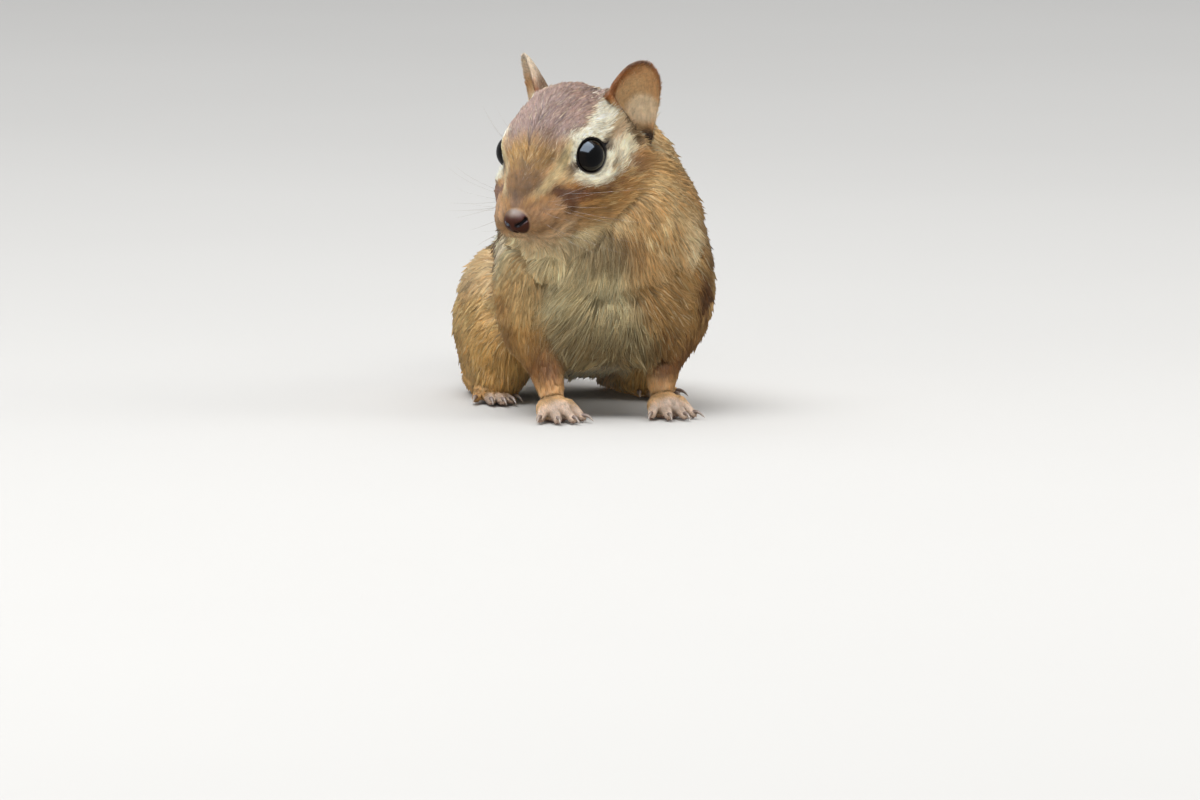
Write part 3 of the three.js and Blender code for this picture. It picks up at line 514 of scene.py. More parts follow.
_C = evaluate(P)[0].reshape(len(CX), len(CY), len(CZ))
_lap = [sum(sample(_C, (CX, CY, CZ), P + e) + sample(_C, (CX, CY, CZ), P - e) - 2 * _C.ravel() for e in np.eye(3) * w) / w ** 2 for w in (3.4, 6.0)]
FOLD = (np.maximum(ramp(-_lap[0], 0.02, 0.16), ramp(-_lap[1], 0.01, 0.08)) * ramp(np.abs(_C.ravel()), 9, 5)).reshape(_C.shape)
cS, cC, cW, cD, cE = skin_field(P, True)
shape = (len(CX), len(CY), len(CZ))
DEPTH = (cD).reshape(shape)
S = spread(cS.reshape(shape), (CX, CY, CZ), (GX, GY, GZ))
step = lambda g: np.repeat(np.diff(g[::4]), 4)
sx, sy, sz = (np.append(step(g), step(g)[-1]) for g in (GX, GY, GZ))
half = 0.5 * np.sqrt(sx[:, None, None] ** 2 + sy[None, :, None] ** 2 + sz[None, None, :] ** 2) + 0.6
band = np.argwhere(np.abs(S) < half)
S[tuple(band.T)] = skin_field(np.stack([GX[band[:, 0]], GY[band[:, 1]], GZ[band[:, 2]]], 1))
S[np.abs(S) < 1e-5] = 1e-5
say(f"skin field on {S.shape}, {len(band)} exact")


def sample_S(p):
    return sample(S, (GX, GY, GZ), p)


def slope_S(p, e=0.35):
    g = np.empty_like(p)
    for d in range(3):
        o = np.zeros(3)
        o[d] = e
        g[:, d] = sample_S(p + o) - sample_S(p - o)
    return g / (2 * e)


def depth_at(p):
    return sample(DEPTH, (CX, CY, CZ), p)


def surface_net(V):
    neg = V < 0
    c = neg.astype(np.uint8)
    cnt = sum(c[i:c.shape[0] - 1 + i, j:c.shape[1] - 1 + j, k:c.shape[2] - 1 + k] for i in (0, 1) for j in (0, 1) for k in (0, 1))
    act = (cnt > 0) & (cnt < 8)
    cells = np.argwhere(act)
    ident = np.full(act.shape, -1, np.int64)
    ident[tuple(cells.T)] = np.arange(len(cells))
    axes = (GX, GY, GZ)
    acc, num = np.zeros((len(cells), 3)), np.zeros(len(cells))
    for corner in range(8):
        A = np.array([corner & 1, (corner >> 1) & 1, corner >> 2])
        for d in range(3):
            if A[d]:
                continue
            B = A.copy()
            B[d] = 1
            ia, ib = cells + A, cells + B
            va, vb = V[tuple(ia.T)], V[tuple(ib.T)]
            m = (va < 0) != (vb < 0)
            t = va[m] / (va[m] - vb[m])
            pa = np.stack([axes[e][ia[m, e]] for e in range(3)], 1)
            pb = np.stack([axes[e][ib[m, e]] for e in range(3)], 1)
            acc[m] += pa + t[:, None] * (pb - pa)
            num[m] += 1
    verts = acc / num[:, None]
    quads = []
    for d in range(3):
        a0 = [slice(1, -1)] * 3
        a1 = [slice(1, -1)] * 3
        a0[d] = slice(0, -1)
        a1[d] = slice(1, None)
        n0, n1 = neg[tuple(a0)], neg[tuple(a1)]
        ed = np.argwhere(n0 != n1)
        base = ed.copy()
        for e in range(3):
            base[:, e] += 0 if e == d else 1
        u, v = [(1, 2), (2, 0), (0, 1)][d]
        ids = []
        for du, dv in ((-1, -1), (0, -1), (0, 0), (-1, 0)):
            q = base.copy()
            q[:, u] += du
            q[:, v] += dv
            ids.append(ident[tuple(q.T)])
        q = np.stack(ids, 1)
        flip = ~neg[tuple(base.T)]
        q[flip] = q[flip][:, ::-1]
        quads.append(q)
    quads = np.concatenate(quads)
    quads = quads[(quads >= 0).all(1)]
    return verts, quads


def split_quads(v, q):
    d0 = np.linalg.norm(v[q[:, 0]] - v[q[:, 2]], axis=1)
    d1 = np.linalg.norm(v[q[:, 1]] - v[q[:, 3]], axis=1)
    a = d0 <= d1
    return np.concatenate([np.where(a[:, None], q[:, [0, 1, 2]], q[:, [0, 1, 3]]), np.where(a[:, None], q[:, [0, 2, 3]], q[:, [1, 2, 3]])])


def edges_of(f):
    e = np.concatenate([f[:, [0, 1]], f[:, [1, 2]], f[:, [2, 0]]])
    return np.unique(np.sort(e, 1), axis=0)


def relax(v, e, amount):
    acc, num = np.zeros_like(v), np.zeros(len(v))
    for d in range(3):
        acc[:, d] = np.bincount(e[:, 0], v[e[:, 1], d], len(v)) + np.bincount(e[:, 1], v[e[:, 0], d], len(v))
    num = np.bincount(e.ravel(), minlength=len(v))
    return v + amount * (acc / np.maximum(num, 1)[:, None] - v)


def project(v, limit=0.35, exact=True):
    g = slope_S(v, 0.2)
    fine = np.zeros(len(v), bool)
    for s in (1, -1):
        fine |= (((v - EARS[s][0]) ** 2).sum(1) < 18.5 ** 2) & ((v - EARS[s][0]) @ EARS[s][1] > -3)
        fine |= ((v - EYE_AT[s]) ** 2).sum(1) < 6.5 ** 2
    if fine.any() and exact:
        q = v[fine]
        g[fine] = np.stack([(skin_field(q + e) - skin_field(q - e)) / 0.12 for e in np.eye(3) * 0.06], 1)
    g2 = np.maximum((g * g).sum(1), 0.3)
    d = skin_field(v) if exact else sample_S(v)
    move = g * (np.clip(d, -limit, limit) / g2)[:, None]
    return v - move


verts, quads = surface_net(S)
verts = project(verts)
edges = edges_of(split_quads(verts, quads))
for _ in range(2):
    verts = project(relax(verts, edges, 0.45))
tris = split_quads(verts, quads)
say(f"skin mesh {len(verts)} points, {len(tris)} triangles")


def refine(v, f, want):
    """Splits the wanted triangles into four and closes the neighbours (red-green)."""
    red = want.copy()
    e_all = np.sort(np.concatenate([f[:, [0, 1]], f[:, [1, 2]], f[:, [2, 0]]]), 1)
    keys = e_all[:, 0].astype(np.int64) * len(v) + e_all[:, 1]
    uniq, inv = np.unique(keys, return_inverse=True)
    inv = inv.reshape(3, -1).T
    while True:
        cut = np.zeros(len(uniq), bool)
        cut[inv[red].ravel()] = True
        n = cut[inv].sum(1)
        more = (n >= 2) & ~red
        if not more.any():
            break
        red |= more
    mid = np.full(len(uniq), -1)
    mid[cut] = len(v) + np.arange(cut.sum())
    a, b = uniq // len(v), uniq % len(v)
    nv = np.concatenate([v, (v[a[cut]] + v[b[cut]]) / 2])
    m = mid[inv]
    keep = f[(~red) & (n == 0)]
    r, mr = f[red], m[red]
    four = np.concatenate([np.stack([r[:, 0], mr[:, 0], mr[:, 2]], 1), np.stack([r[:, 1], mr[:, 1], mr[:, 0]], 1), np.stack([r[:, 2], mr[:, 2], mr[:, 1]], 1), mr])
    g = (~red) & (n == 1)
    fg, mg = f[g], m[g]
    k = np.argmax(mg >= 0, 1)
    i = np.arange(len(fg))
    A, B, O, M = fg[i, k], fg[i, (k + 1) % 3], fg[i, (k + 2) % 3], mg[i, k]
    two = np.concatenate([np.stack([A, M, O], 1), np.stack([M, B, O], 1)])
    return nv, np.concatenate([keep, four, two])


cen = verts[tris].mean(1)
hc_ = to_head(cen)
want = np.zeros(len(tris), bool)
for s in (1, -1):
    q = cen - EYE_AT[s]
    x = q @ EYE_AXIS[s]
    want |= (np.linalg.norm(q, axis=1) < 6.3) & (x > -1.0)
want |= np.linalg.norm(hc_ - vec(19, 0, -6.2), axis=1) < 5.2
for s in (1, -1):
    want |= capsule(hc_, np.array(MOUTH[0]) * [1, s, 1], np.array(MOUTH[-1]) * [1, s, 1], 1.6) < 0
verts, tris = refine(verts, tris, want)
near = np.zeros(len(verts), bool)
near[np.unique(tris[-1])] = True
for _ in range(2):
    hv = to_head(verts)
    m = (hv[:, 0] > -9) & (np.abs(hv[:, 1]) < 20)
    moved = project(verts[m], 0.2)
    verts[m] = moved
say(f"face refined: {len(verts)} points, {len(tris)} triangles")

# thin the ears' shells towards their middle surface, away from the roots
for s in (1, -1):
    x, y, z = ear_local(verts, s)
    xr = np.maximum(x, -3.0)
    rho, th = np.hypot(xr, y), np.degrees(np.arctan2(y, np.maximum(xr, 1e-6)))
    R = np.interp(th, EAR_T, EAR_RAD) - 0.3
    tc = np.clip(rho / np.maximum(R, 0.1), 0, 1)
    zs = -EAR_DEEP * (1 - tc ** 2.2)
    w = ramp(x, 2.5, 6.0) * (rho < R + 1.5) * (np.abs(z - zs) < 1.6) * (x > 0)
    n = EARS[s][3]
    verts = verts - (n * ((z - zs) * 0.38 * w)[:, None])
verts[:, 2] = np.maximum(verts[:, 2], 0.04)

# ------------------------------------------------------------------ value noise
_lattice = rng.random((48, 48, 48))


def noise(p, scale, off=0.0):
    """Smooth value noise about 0, from -0.5 to 0.5."""
    q = p / scale + off
    i = np.floor(q).astype(int)
    t = q - i
    t = t * t * (3 - 2 * t)
    out = 0
    for cx in (0, 1):
        for cy in (0, 1):
            for cz in (0, 1):
                w = (t[:, 0] if cx else 1 - t[:, 0]) * (t[:, 1] if cy else 1 - t[:, 1]) * (t[:, 2] if cz else 1 - t[:, 2])
                out = out + w * _lattice[(i[:, 0] + cx) % 48, (i[:, 1] + cy) % 48, (i[:, 2] + cz) % 48]
    return out - 0.5


# --------------------------------------------------------------------- markings
def srgb(r, g, b):
    c = vec(r, g, b) / 255
    return np.where(c <= 0.04045, c / 12.92, ((c + 0.055) / 1.055) ** 2.4)


def to_line(q, pts):
    """Distance to an open line of points, and how far along it (0..1)."""
    pts = np.array(pts, float)
    best, where = np.full(len(q), 1e9), np.zeros(len(q))
    for i in range(len(pts) - 1):
        a, b = pts[i], pts[i + 1]
        ba = b - a
        t = np.clip((q - a) @ ba / (ba @ ba), 0, 1)
        d = np.linalg.norm(q - a - t[:, None] * ba, axis=1)
        m = d < best
        best[m] = d[m]
        where[m] = (i + t[m]) / (len(pts) - 1)
    return best, where


def lay(base, colour, w):
    w = np.clip(w, 0, 1)[:, None]
    return base * (1 - w) + colour * w


def along(pts, n):
    """Evenly spaced points on a smooth line through the given ones."""
    pts = np.array(pts, float)
    ext = np.concatenate([[2 * pts[0] - pts[1]], pts, [2 * pts[-1] - pts[-2]]])
    out = []
    for i in range(len(pts) - 1):
        a, b, c, d = ext[i:i + 4]
        t = np.linspace(0, 1, 12, endpoint=False)[:, None]
        out.append(0.5 * (2 * b + (c - a) * t + (2 * a - 5 * b + 4 * c - d) * t ** 2 + (3 * b - a - 3 * c + d) * t ** 3))
    out = np.concatenate(out + [pts[-1:]])
    s = np.append(0, np.cumsum(np.linalg.norm(np.diff(out, axis=0), axis=1)))
    u = np.linspace(0, s[-1], n)
    return np.stack([np.interp(u, s, out[:, d]) for d in range(3)], 1)


def onto(p, level=-1.2):
    """Moves points onto the coat's surface, less the given depth, with the surface's normal there."""
    for _ in range(7):
        g = np.stack([(evaluate(p + e)[0] - evaluate(p - e)[0]) / 0.4 for e in np.eye(3) * 0.2], 1)
        p = p + g * ((level - evaluate(p)[0]) / np.maximum((g * g).sum(1), 0.3))[:, None]
    return p, unit(g)


CREAM = srgb(222, 202, 158)
WHITE = srgb(246, 236, 208)
# lines of the face, in the head's frame, the same on both sides
CROWN_EDGE = ([-22, -12.8, -7.6, -3.3, 0.6, 3.3, 6.2, 11.5, 16.5], [6.6, 7.6, 6.6, 6.3, 6.9, 6.0, 3.5, 0.6, -1.4])
BAND_LOW = ([-22, -16.3, -13.4, -8.0, -5.0, -2.0, 2.0], [6.2, 4.8, 2.4, 1.4, 2.6, 3.0, 3.0])
SUP = [(16.2, 2.6, -2.0), (11.8, 5.3, -0.7), (8.0, 7.1, 0.9), (5.4, 8.2, 2.9), (2.6, 9.3, 4.9)]
INF = [(5.6, 10.6, -1.5), (4.6, 12, -2.9), (1.9, 14.6, -4.6), (-3.1, 16.4, -5.1), (-9.4, 17, -5.6), (-13, 17.3, -6.4)]
FROM_NOSE = [(11.9, 5.8, -0.8), (10.4, 7.7, -2.4), (9.4, 9.4, -3.9), (10.4, 9.4, -4.9), (10.4, 10.2, -6.2), (9.9, 10.9, -7.7)]
UNDER = [(9.0, 10.4, -4.4), (6.8, 12.4, -5.2), (3.6, 14.6, -6.4), (0, 16.3, -7.2), (-3.8, 17.5, -7.3), (-6.6, 18, -7.5), (-8.5, 19.2, -8.6)]
REDDISH = [(-9.6, 17.4, -7.0), (-11.8, 18.4, -7.7), (-12.4, 20.2, -10.0)]
BEHIND = [(-5.4, 13.4, 0.6), (-7.0, 14.2, 1.2)]
INNER = [(4.6, 9.6, 0.6), (6.2, 8.8, -0.2)]

# the flank's pale stripe, from behind the shoulder to the rump
STRIPE = {}
for s in (1, -1):
    pts = [(2.6 + s * 24.6, 0, 29.5), (3.4 + s * 24.5, 8, 36), (4.6 + s * 22.5, 18, 41.5), (5.8 + s * 19, 30, 43.5), (6 + s * 16.5, 42, 42.5), (6 + s * 14.5, 54, 38.5), (5.8 + s * 11, 65, 32.5), (5.6 + s * 8, 74, 25)]
    STRIPE[s] = onto(along(pts, 34))


def stripe_place(p, s):
    """Distance across the flank from the pale stripe (towards the back +), and how far along it."""
    Q, Nq = STRIPE[s]
    best, off, where = np.full(len(p), 1e9), np.zeros(len(p)), np.zeros(len(p))
    for i in range(len(Q) - 1):
        a, ba = Q[i], Q[i + 1] - Q[i]
        n = unit(Nq[i] + Nq[i + 1])
        up = np.cross(n, unit(ba)) * s
        if up[2] < 0:
            up = -up
        t = (p - a) @ ba / (ba @ ba)
        tc = np.clip(t, 0, 1)
        w = p - a - tc[:, None] * ba
        w = w - (w @ n)[:, None] * n
        d = np.linalg.norm(w, axis=1)
        m = d < best
        best[m] = d[m]
        off[m] = (np.sign(w @ up) * d)[m]
        where[m] = (i + tc[m]) / (len(Q) - 1)
    return off, where


def coat_colour(p, W, earness, up):
    """Colour of the coat at a place: markings of the head, back, flanks, belly, legs and tail, with painted shade and a
    painted highlight in places. up is the surface's own upward slope.
    """
    n = len(p)
    h = to_head(p)
    a, b, c = h[:, 0], np.abs(h[:, 1]), h[:, 2]
    hb = np.stack([a, b, c], 1)
    x, y, z = p.T
    n1, n2, n3 = noise(p, 7.0), noise(p, 3.0, 7.3), noise(p, 1.3, 3.1)
    wob = 1.6 * n2 + 0.9 * n3

    # ---- head
    top_c = np.interp(a, *CROWN_EDGE)
    band_c = np.interp(a, *BAND_LOW)
    low_c = np.interp(a, [-22, -13, -9.4, -3.1, 1.9, 4.6, 7, 11.4, 16], [-6.6, -6.3, -5.6, -5.2, -4.7, -3.0, -2.6, -1.6, -3.2])
    head = np.tile(srgb(162, 117, 63), (n, 1))                                   # cheek
    head = lay(head, srgb(214, 178, 116), 0.55 * ramp(n2 + 0.6 * n3, 0.02, 0.3) * ramp(a, 9, 2))
    head = lay(head, srgb(172, 116, 58), 0.55 * ramp(n2 - 0.4 * n3, -0.02, -0.3) * ramp(a, 9, 2))
    head = lay(head, srgb(164, 126, 86), ramp(a, 6.5, 11.5) * ramp(c, -1.5, -5))            # whisker pad
    head = lay(head, srgb(214, 172, 104), 0.7 * ramp(c, -9.5, -13) * ramp(a, 4, -8))
    head = lay(head, srgb(206, 176, 130), ramp(c, low_c - 0.2, low_c + 1.2) * ramp(a, 12, 6))              # between the lines
    head = lay(head, WHITE * 0.97, 0.85 * ramp(c, low_c - 0.2, low_c + 1.2) * ramp(a, -2, -6) * ramp(c - 0.35 * wob, band_c + 0.4, band_c - 1.8) * ramp(a, -16, -12.5))
    head = lay(head, srgb(184, 152, 118), 0.8 * ramp(np.linalg.norm((hb - vec(-11.5, 13.6, 0.4)) / vec(4.2, 3, 1.6), axis=1), 1.2, 0.5))
    crown = ramp(c + 0.25 * wob, top_c - 0.5, top_c + 0.6)
    head = lay(head, srgb(158, 131, 120), crown)
    head = lay(head, srgb(142, 108, 96), 0.5 * crown * ramp(n3 + 0.5 * n2, 0.0, 0.25))
    head = lay(head, srgb(168, 127, 64), crown * ramp(a + 0.9 * wob, 1.0, 7.0))           # bridge
    head = lay(head, srgb(108, 72, 28), 0.88 * crown * ramp(a + 0.5 * wob, 7.0, 12.0))
    # the pale band over the eye and back to the crown's side, and before the eye
    band = ramp(c + 0.25 * wob, band_c - 0.5, band_c + 0.6) * ramp(c + 0.25 * wob, top_c + 0.4, top_c - 0.6) * ramp(a, 3.4, 0.8) * ramp(a, -23, -18)
    head = lay(head, WHITE * vec(1.2, 1.23, 1.3), 0.97 * band)
    d, t = to_line(hb, SUP)
    head = lay(head, CREAM * vec(0.92, 0.90, 0.82), 0.9 * ramp(d + 0.25 * wob, 1.7 - 0.5 * t * 0, 0.6) * ramp(a, 16.5, 12.5) * (0.75 + 0.25 * t))
    for s in (1, -1):
        q = p - EYE_AT[s]
        q = q - (q @ EYE_AXIS[s])[:, None] * EYE_AXIS[s]
        r = np.linalg.norm(q, axis=1)
        m = np.linalg.norm(p - EYE_AT[s], axis=1) < 9
        head = lay(head, WHITE * 1.12, 0.97 * m * ramp(r + 0.2 * wob, 6.1, 5.3))
    d, t = to_line(hb, INF)
    head = lay(head, WHITE * 0.93, 0.95 * ramp(d + 0.2 * wob, 1.75, 0.8) * ramp(t, 1.02, 0.8))
    # brown lines from the muzzle back under the eye
    d, t = to_line(hb, UNDER)
    head = lay(head, srgb(104, 60, 28), (0.97 - 0.35 * t) * ramp(d + 0.22 * wob, 2.2, 0.9) * ramp(t, 1.02, 0.7))
    d, t = to_line(hb, FROM_NOSE)
    head = lay(head, srgb(92, 54, 25), 0.97 * ramp(d + 0.18 * wob, 1.7, 0.8) * ramp(t, -0.02, 0.2) * ramp(t, 1.03, 0.85))
    d, t = to_line(hb, REDDISH)
    head = lay(head, srgb(118, 72, 42), 0.9 * ramp(d + 0.5 * wob, 3.8, 1.2))
    d, t = to_line(hb, BEHIND)
    head = lay(head, srgb(64, 48, 34), (0.95 - 0.35 * t) * ramp(d + 0.15 * wob, 2.1, 0.9))
    d, t = to_line(hb, INNER)
    head = lay(head, srgb(84, 60, 40), (0.92 - 0.45 * t) * ramp(d, 1.6, 0.6))
    # jaw, lower lip and throat
    chin_c = np.interp(a, [0, 8, 12.8, 15.6, 18], [-13.4, -13.4, -13.9, -12.8, -10.8])
    head = lay(head, srgb(178, 146, 98), ramp(c + 0.3 * wob, chin_c, chin_c - 1.3) * ramp(a + 0.6 * wob, -13, -5))
    head = lay(head, CREAM * 1.14, ramp(c + 0.3 * wob, chin_c, chin_c - 1.3) * ramp(a + 0.6 * wob, 5, 9.5))
    head = lay(head, srgb(204, 172, 132), 0.8 * ramp(a, 9.5, 12) * ramp(c, -8.0, -10.5))
    # beside and above the nose
    d = np.linalg.norm((hb - vec(16.2, 0.4, -1.4)) / vec(3.2, 1.1, 1.5), axis=1)
    head = lay(head, srgb(84, 60, 46), 0.6 * ramp(d + 0.06 * wob, 1.5, 0.35))
    head = lay(head, srgb(150, 118, 84), ramp(a, -17, -23) * ramp(c, -9, -2))

    # ---- ears
    ear = np.tile(srgb(202, 170, 138), (n, 1))
    for s in (1, -1):
        ex, ey, ez = ear_local(p, s)
        m = (ex > -6) & (np.hypot(ex, ey) < 18) & (np.sign(h[:, 1]) == s)
        rho, th = np.hypot(np.maximum(ex, 0), ey), np.degrees(np.arctan2(ey, np.maximum(ex, 1e-6)))
        R = np.interp(th, EAR_T, EAR_RAD)
        tt = rho / R
        zs = -EAR_DEEP * (1 - np.minimum(tt, 1) ** 2.2)
        backside = ramp(ez - zs, 0.1, -0.3)
        e = np.tile(srgb(206, 166, 118), (n, 1))
        e = lay(e, srgb(202, 154, 104), ramp(tt, 0.5, 0.85) * 0.7)
        e = lay(e, srgb(240, 216, 180), ramp(np.hypot((ex - 3.6) / 1.1, ey + 0.6), 4.4, 2.2) * 0.9)
        e = lay(e, srgb(166, 100, 48), ramp(tt, 0.66, 0.88) * ramp(th, 30, 62) * 0.95)
        e = lay(e, srgb(150, 96, 58), ramp(tt, 0.88, 0.97) * ramp(th, -25, 15) * 0.9)
        e = lay(e, srgb(104, 68, 44), ramp(tt, 0.93, 1.0) * ramp(th, 28, 42) * ramp(th, 72, 55))
        # the front root, orange-brown, darker towards the opening, where painted shade lies
        root_line = capsule(p, ear_point(s, 1.0, 8.0, -0.2), ear_point(s, 0.6, 0.6, 0.0), 0.0)
        slit = slit_distance(h)
        e = lay(e, srgb(150, 92, 48), 0.9 * ramp(root_line, 1.5, 0.85) * (1 - backside))
        e = lay(e, srgb(140, 112, 88), backside * 0.9)
        e = lay(e, srgb(222, 206, 172), backside * ramp(th, 30, -5) * 0.95)
        # painted shade: near-black along the ear's opening
        e = lay(e, srgb(40, 24, 14), 0.98 * ramp(slit + 0.1 * wob, 2.3, 1.3) * (1 - backside))
        if s < 0:
            e = lay(e, srgb(236, 214, 186), 0.85 * ramp(rho + 0.8 * n2, 8.5, 12.0))
        ear[m] = e[m]
        w = (np.sign(h[:, 1]) == s) * (ez > -3.2)
        head = lay(head, srgb(150, 98, 56), 0.85 * w * ramp(root_line, 1.6, 0.9))
        # painted shade: near-black along the ear's opening, on the head's side too
        head = lay(head, srgb(42, 26, 15), 0.97 * w * ramp(slit + 0.1 * wob, 2.3, 1.2))

    # ---- trunk
    trunk = np.tile(srgb(196, 162, 106), (n, 1))
    trunk = lay(trunk, srgb(226, 198, 142), 0.6 * ramp(n2 + 0.5 * n3, 0.05, 0.4))
    trunk = lay(trunk, srgb(150, 112, 66), 0.5 * ramp(n2 - 0.5 * n3, -0.08, -0.4))
    body = np.flatnonzero((W[:, TRUNK] + W[:, THIGH] + W[:, ARM] > 0.03) & (y > -6))
    off, where = np.full(n, -30.0), np.zeros(n)
    for s in (1, -1):
        m = body[(x[body] - (4.5 - 0.02 * y[body])) * s > 0]
        off[m], where[m] = stripe_place(p[m], s)
    off = off + 0.30 * wob
    ends = ramp(where, -0.01, 0.12) * ramp(where, 1.0, 0.86)
    back = ramp(off, 2.0, 4.2) * ramp(y, -2, 8)
    trunk = lay(trunk, srgb(150, 124, 92), back)
    trunk = lay(trunk, srgb(128, 100, 74), 0.6 * back * ramp(n3, 0.02, 0.22))
    rump = ramp(y + 0.8 * wob, 60, 70) * ramp(z, 8, 16)
    trunk = lay(trunk, srgb(178, 108, 56), 0.9 * rump)
    stripes = np.zeros(n)
    for lo, hi, col, w in ((1.3, 4.1, srgb(66, 46, 34), 0.95), (-3.7, -1.3, srgb(84, 58, 38), 0.9)):
        k = w * ramp(off, lo - 0.35, lo + 0.35) * ramp(off, hi + 0.35, hi - 0.35) * ends
        trunk = lay(trunk, col, k)
        stripes = np.maximum(stripes, k)
    k = 0.96 * ramp(np.abs(off), 1.75, 1.1) * ends
    trunk = lay(trunk, WHITE * 0.9, k)
    stripes = np.maximum(stripes, k)
    mid_x = 6.3 - 0.012 * y
    k = 0.95 * ramp(np.abs(x - mid_x) + 0.3 * wob, 2.1, 1.1) * ramp(z, 20, 30) * ramp(y, 15, 24) * ramp(y, 74, 66)
    trunk = lay(trunk, srgb(62, 44, 34), k)
    # breast and throat: a pale bib between tan sides
    lo_x = np.interp(z, [6, 10, 17, 26, 33, 46], [-11, -11, -14, -20, -31, -36])
    hi_x = np.interp(z, [6, 10, 17, 26, 37, 46], [10, 10, 9, 4, 1.5, -3])
    yb = y - 5 * ramp(z, 27, 34) * ramp(x, -10, -16)
    front = ramp(yb, 6, -1)
    bib = ramp(x + wob, lo_x - 1.5, lo_x + 4.5) * ramp(x + wob, hi_x + 4.0, hi_x - 3.0) * front
    trunk = lay(trunk, srgb(160, 122, 72), front * 0.9)
    trunk = lay(trunk, srgb(212, 180, 124), front * 0.85 * ramp(x, -10, -15) * ramp(z, 18, 26))
    trunk = lay(trunk, srgb(198, 182, 140), bib)
    # painted shade: the bib darker towards the bottom of the breast
    trunk = lay(trunk, srgb(116, 96, 60), bib * 0.85 * ramp(z, 27, 13))
    trunk = lay(trunk, srgb(214, 198, 160), ramp(up, -0.25, -0.6) * ramp(z, 16, 8) * (1 - front))              # belly
    # painted shade behind the upper arms, partly the front ends of the dark flank stripes; above the left shoulder pale
    # hair with a painted highlight
    shade = np.zeros(n)
    for q, r, w in (((-24.0, 0.0, 26.0), (3.6, 5.0, 4.5), 0.55), ((-22.6, 1.5, 19.5), (4.0, 5.5, 5.0), 0.55), ((24.5, -2.5, 27.0), (5.0, 5.2, 6.6), 0.97), ((25.5, 1.0, 34.5), (3.0, 4.5, 4.0), 0.6)):
        d = np.linalg.norm((p - vec(*q)) / vec(*r), axis=1)
        k = w * ramp(d + 0.12 * wob, 1.15, 0.4)
        shade = np.maximum(shade, k)
    trunk = lay(trunk, srgb(92, 56, 26), shade)
    # pale hair above the left shoulder, made paler still as a painted highlight of the light from behind
    pale_hair_and_highlight = ramp(np.linalg.norm((p - vec(20, -5, 40)) / vec(6, 7, 7), axis=1) + 0.1 * wob, 1.1, 0.5)
    trunk = lay(trunk, srgb(236, 212, 168), 0.85 * pale_hair_and_highlight)

    # ---- neck: cream in front, tan at the sides, grey-brown behind
    neck = np.tile(srgb(222, 180, 122), (n, 1))
    neck = lay(neck, srgb(240, 216, 168), 0.7 * ramp(n2 + 0.5 * n3, 0.0, 0.35))
    neck = lay(neck, srgb(158, 132, 104), ramp(y + 0.4 * (z - 55), 12, 20))
    bibn = ramp(x + wob, hi_x + 4.0, hi_x - 3.0) * ramp(yb, 4, -2)
    neck = lay(neck, srgb(226, 208, 162), bibn)

    # ---- limbs
    arm = np.tile(srgb(190, 148, 88), (n, 1))
    arm = lay(arm, srgb(206, 174, 120), 0.85 * ramp(y, 2, -3) * ramp(x, -10, -14) * ramp(z, 20, 27))
    arm = lay(arm, srgb(190, 164, 116), ramp(np.abs(x - 1), 13, 9) * 0.7)
    arm = lay(arm, srgb(214, 186, 132), 0.5 * ramp(n2 + 0.5 * n3, 0.05, 0.4))
    arm = lay(arm, srgb(124, 88, 54), 0.55 * ramp(y, 4, 9) * ramp(z, 30, 22))
    # painted shade: the left arm darker low down, on that side only
    arm = lay(arm, srgb(136, 96, 50), 0.8 * ramp(z, 26, 16) * (x > 0))
    # the same painted shade behind the upper arm
    arm = lay(arm, srgb(92, 56, 26), shade)
    fore = np.tile(srgb(130, 84, 42), (n, 1))
    fore = lay(fore, srgb(140, 112, 70), ramp(np.abs(x), 12.5, 9.5) * 0.7)
    fore = lay(fore, srgb(206, 156, 98), ramp(z, 11, 7) * 0.9)
    toe = srgb(218, 192, 170)
    paw = np.tile(srgb(220, 176, 120), (n, 1))
    paw = lay(paw, toe, ramp(y, -10.0, -12.5))
    paw = lay(paw, srgb(150, 112, 98), ramp(z, 1.0, 0.3))
    thigh = np.tile(srgb(206, 168, 108), (n, 1))
    thigh = lay(thigh, srgb(230, 204, 144), 0.5 * ramp(n2 + 0.5 * n3, 0.05, 0.4))
    thigh = lay(thigh, srgb(160, 116, 60), 0.5 * ramp(n2 - 0.5 * n3, -0.08, -0.36))
    thigh = lay(thigh, srgb(202, 172, 132), ramp(z, 22, 27) * 0.7)
    thigh = lay(thigh, srgb(190, 148, 84), ramp(z, 22, 12) * 0.75)
    thigh = lay(thigh, srgb(178, 114, 62), ramp(y, 56, 64) * 0.8)
    hind = np.tile(srgb(200, 150, 84), (n, 1))
    hind = lay(hind, toe, ramp(y, 31.5, 28.5))
    hind = lay(hind, srgb(150, 112, 98), ramp(z, 1.0, 0.3))

    # ---- tail: brown and frosted above, rufous below
    tail = np.tile(srgb(116, 88, 62), (n, 1))
    tail = lay(tail, srgb(180, 112, 56), ramp(up, 0.1, -0.45))
    tail = lay(tail, srgb(60, 44, 34), 0.6 * ramp(n2, 0.02, 0.3))

    for part in (arm, thigh):
        part[:] = lay(part, trunk, np.clip(stripes * 1.4, 0, 1))
    out = head * (W[:, SKULL] + W[:, NOSE])[:, None] + trunk * W[:, TRUNK, None] + neck * W[:, NECK, None] + arm * W[:, ARM, None] + fore * W[:, FOREARM, None]
    out = out + paw * W[:, FOREFOOT, None] + thigh * W[:, THIGH, None] + hind * W[:, HINDFOOT, None] + tail * W[:, TAIL, None]
    # painted shade under the cheek, where the throat turns in
    w = ramp(np.linalg.norm((p - vec(-3, -12.5, 38.5)) / vec(11, 7, 5.5), axis=1) + 0.08 * wob, 1.2, 0.45)
    out = out * (1 - w[:, None] * vec(0.46, 0.50, 0.52))
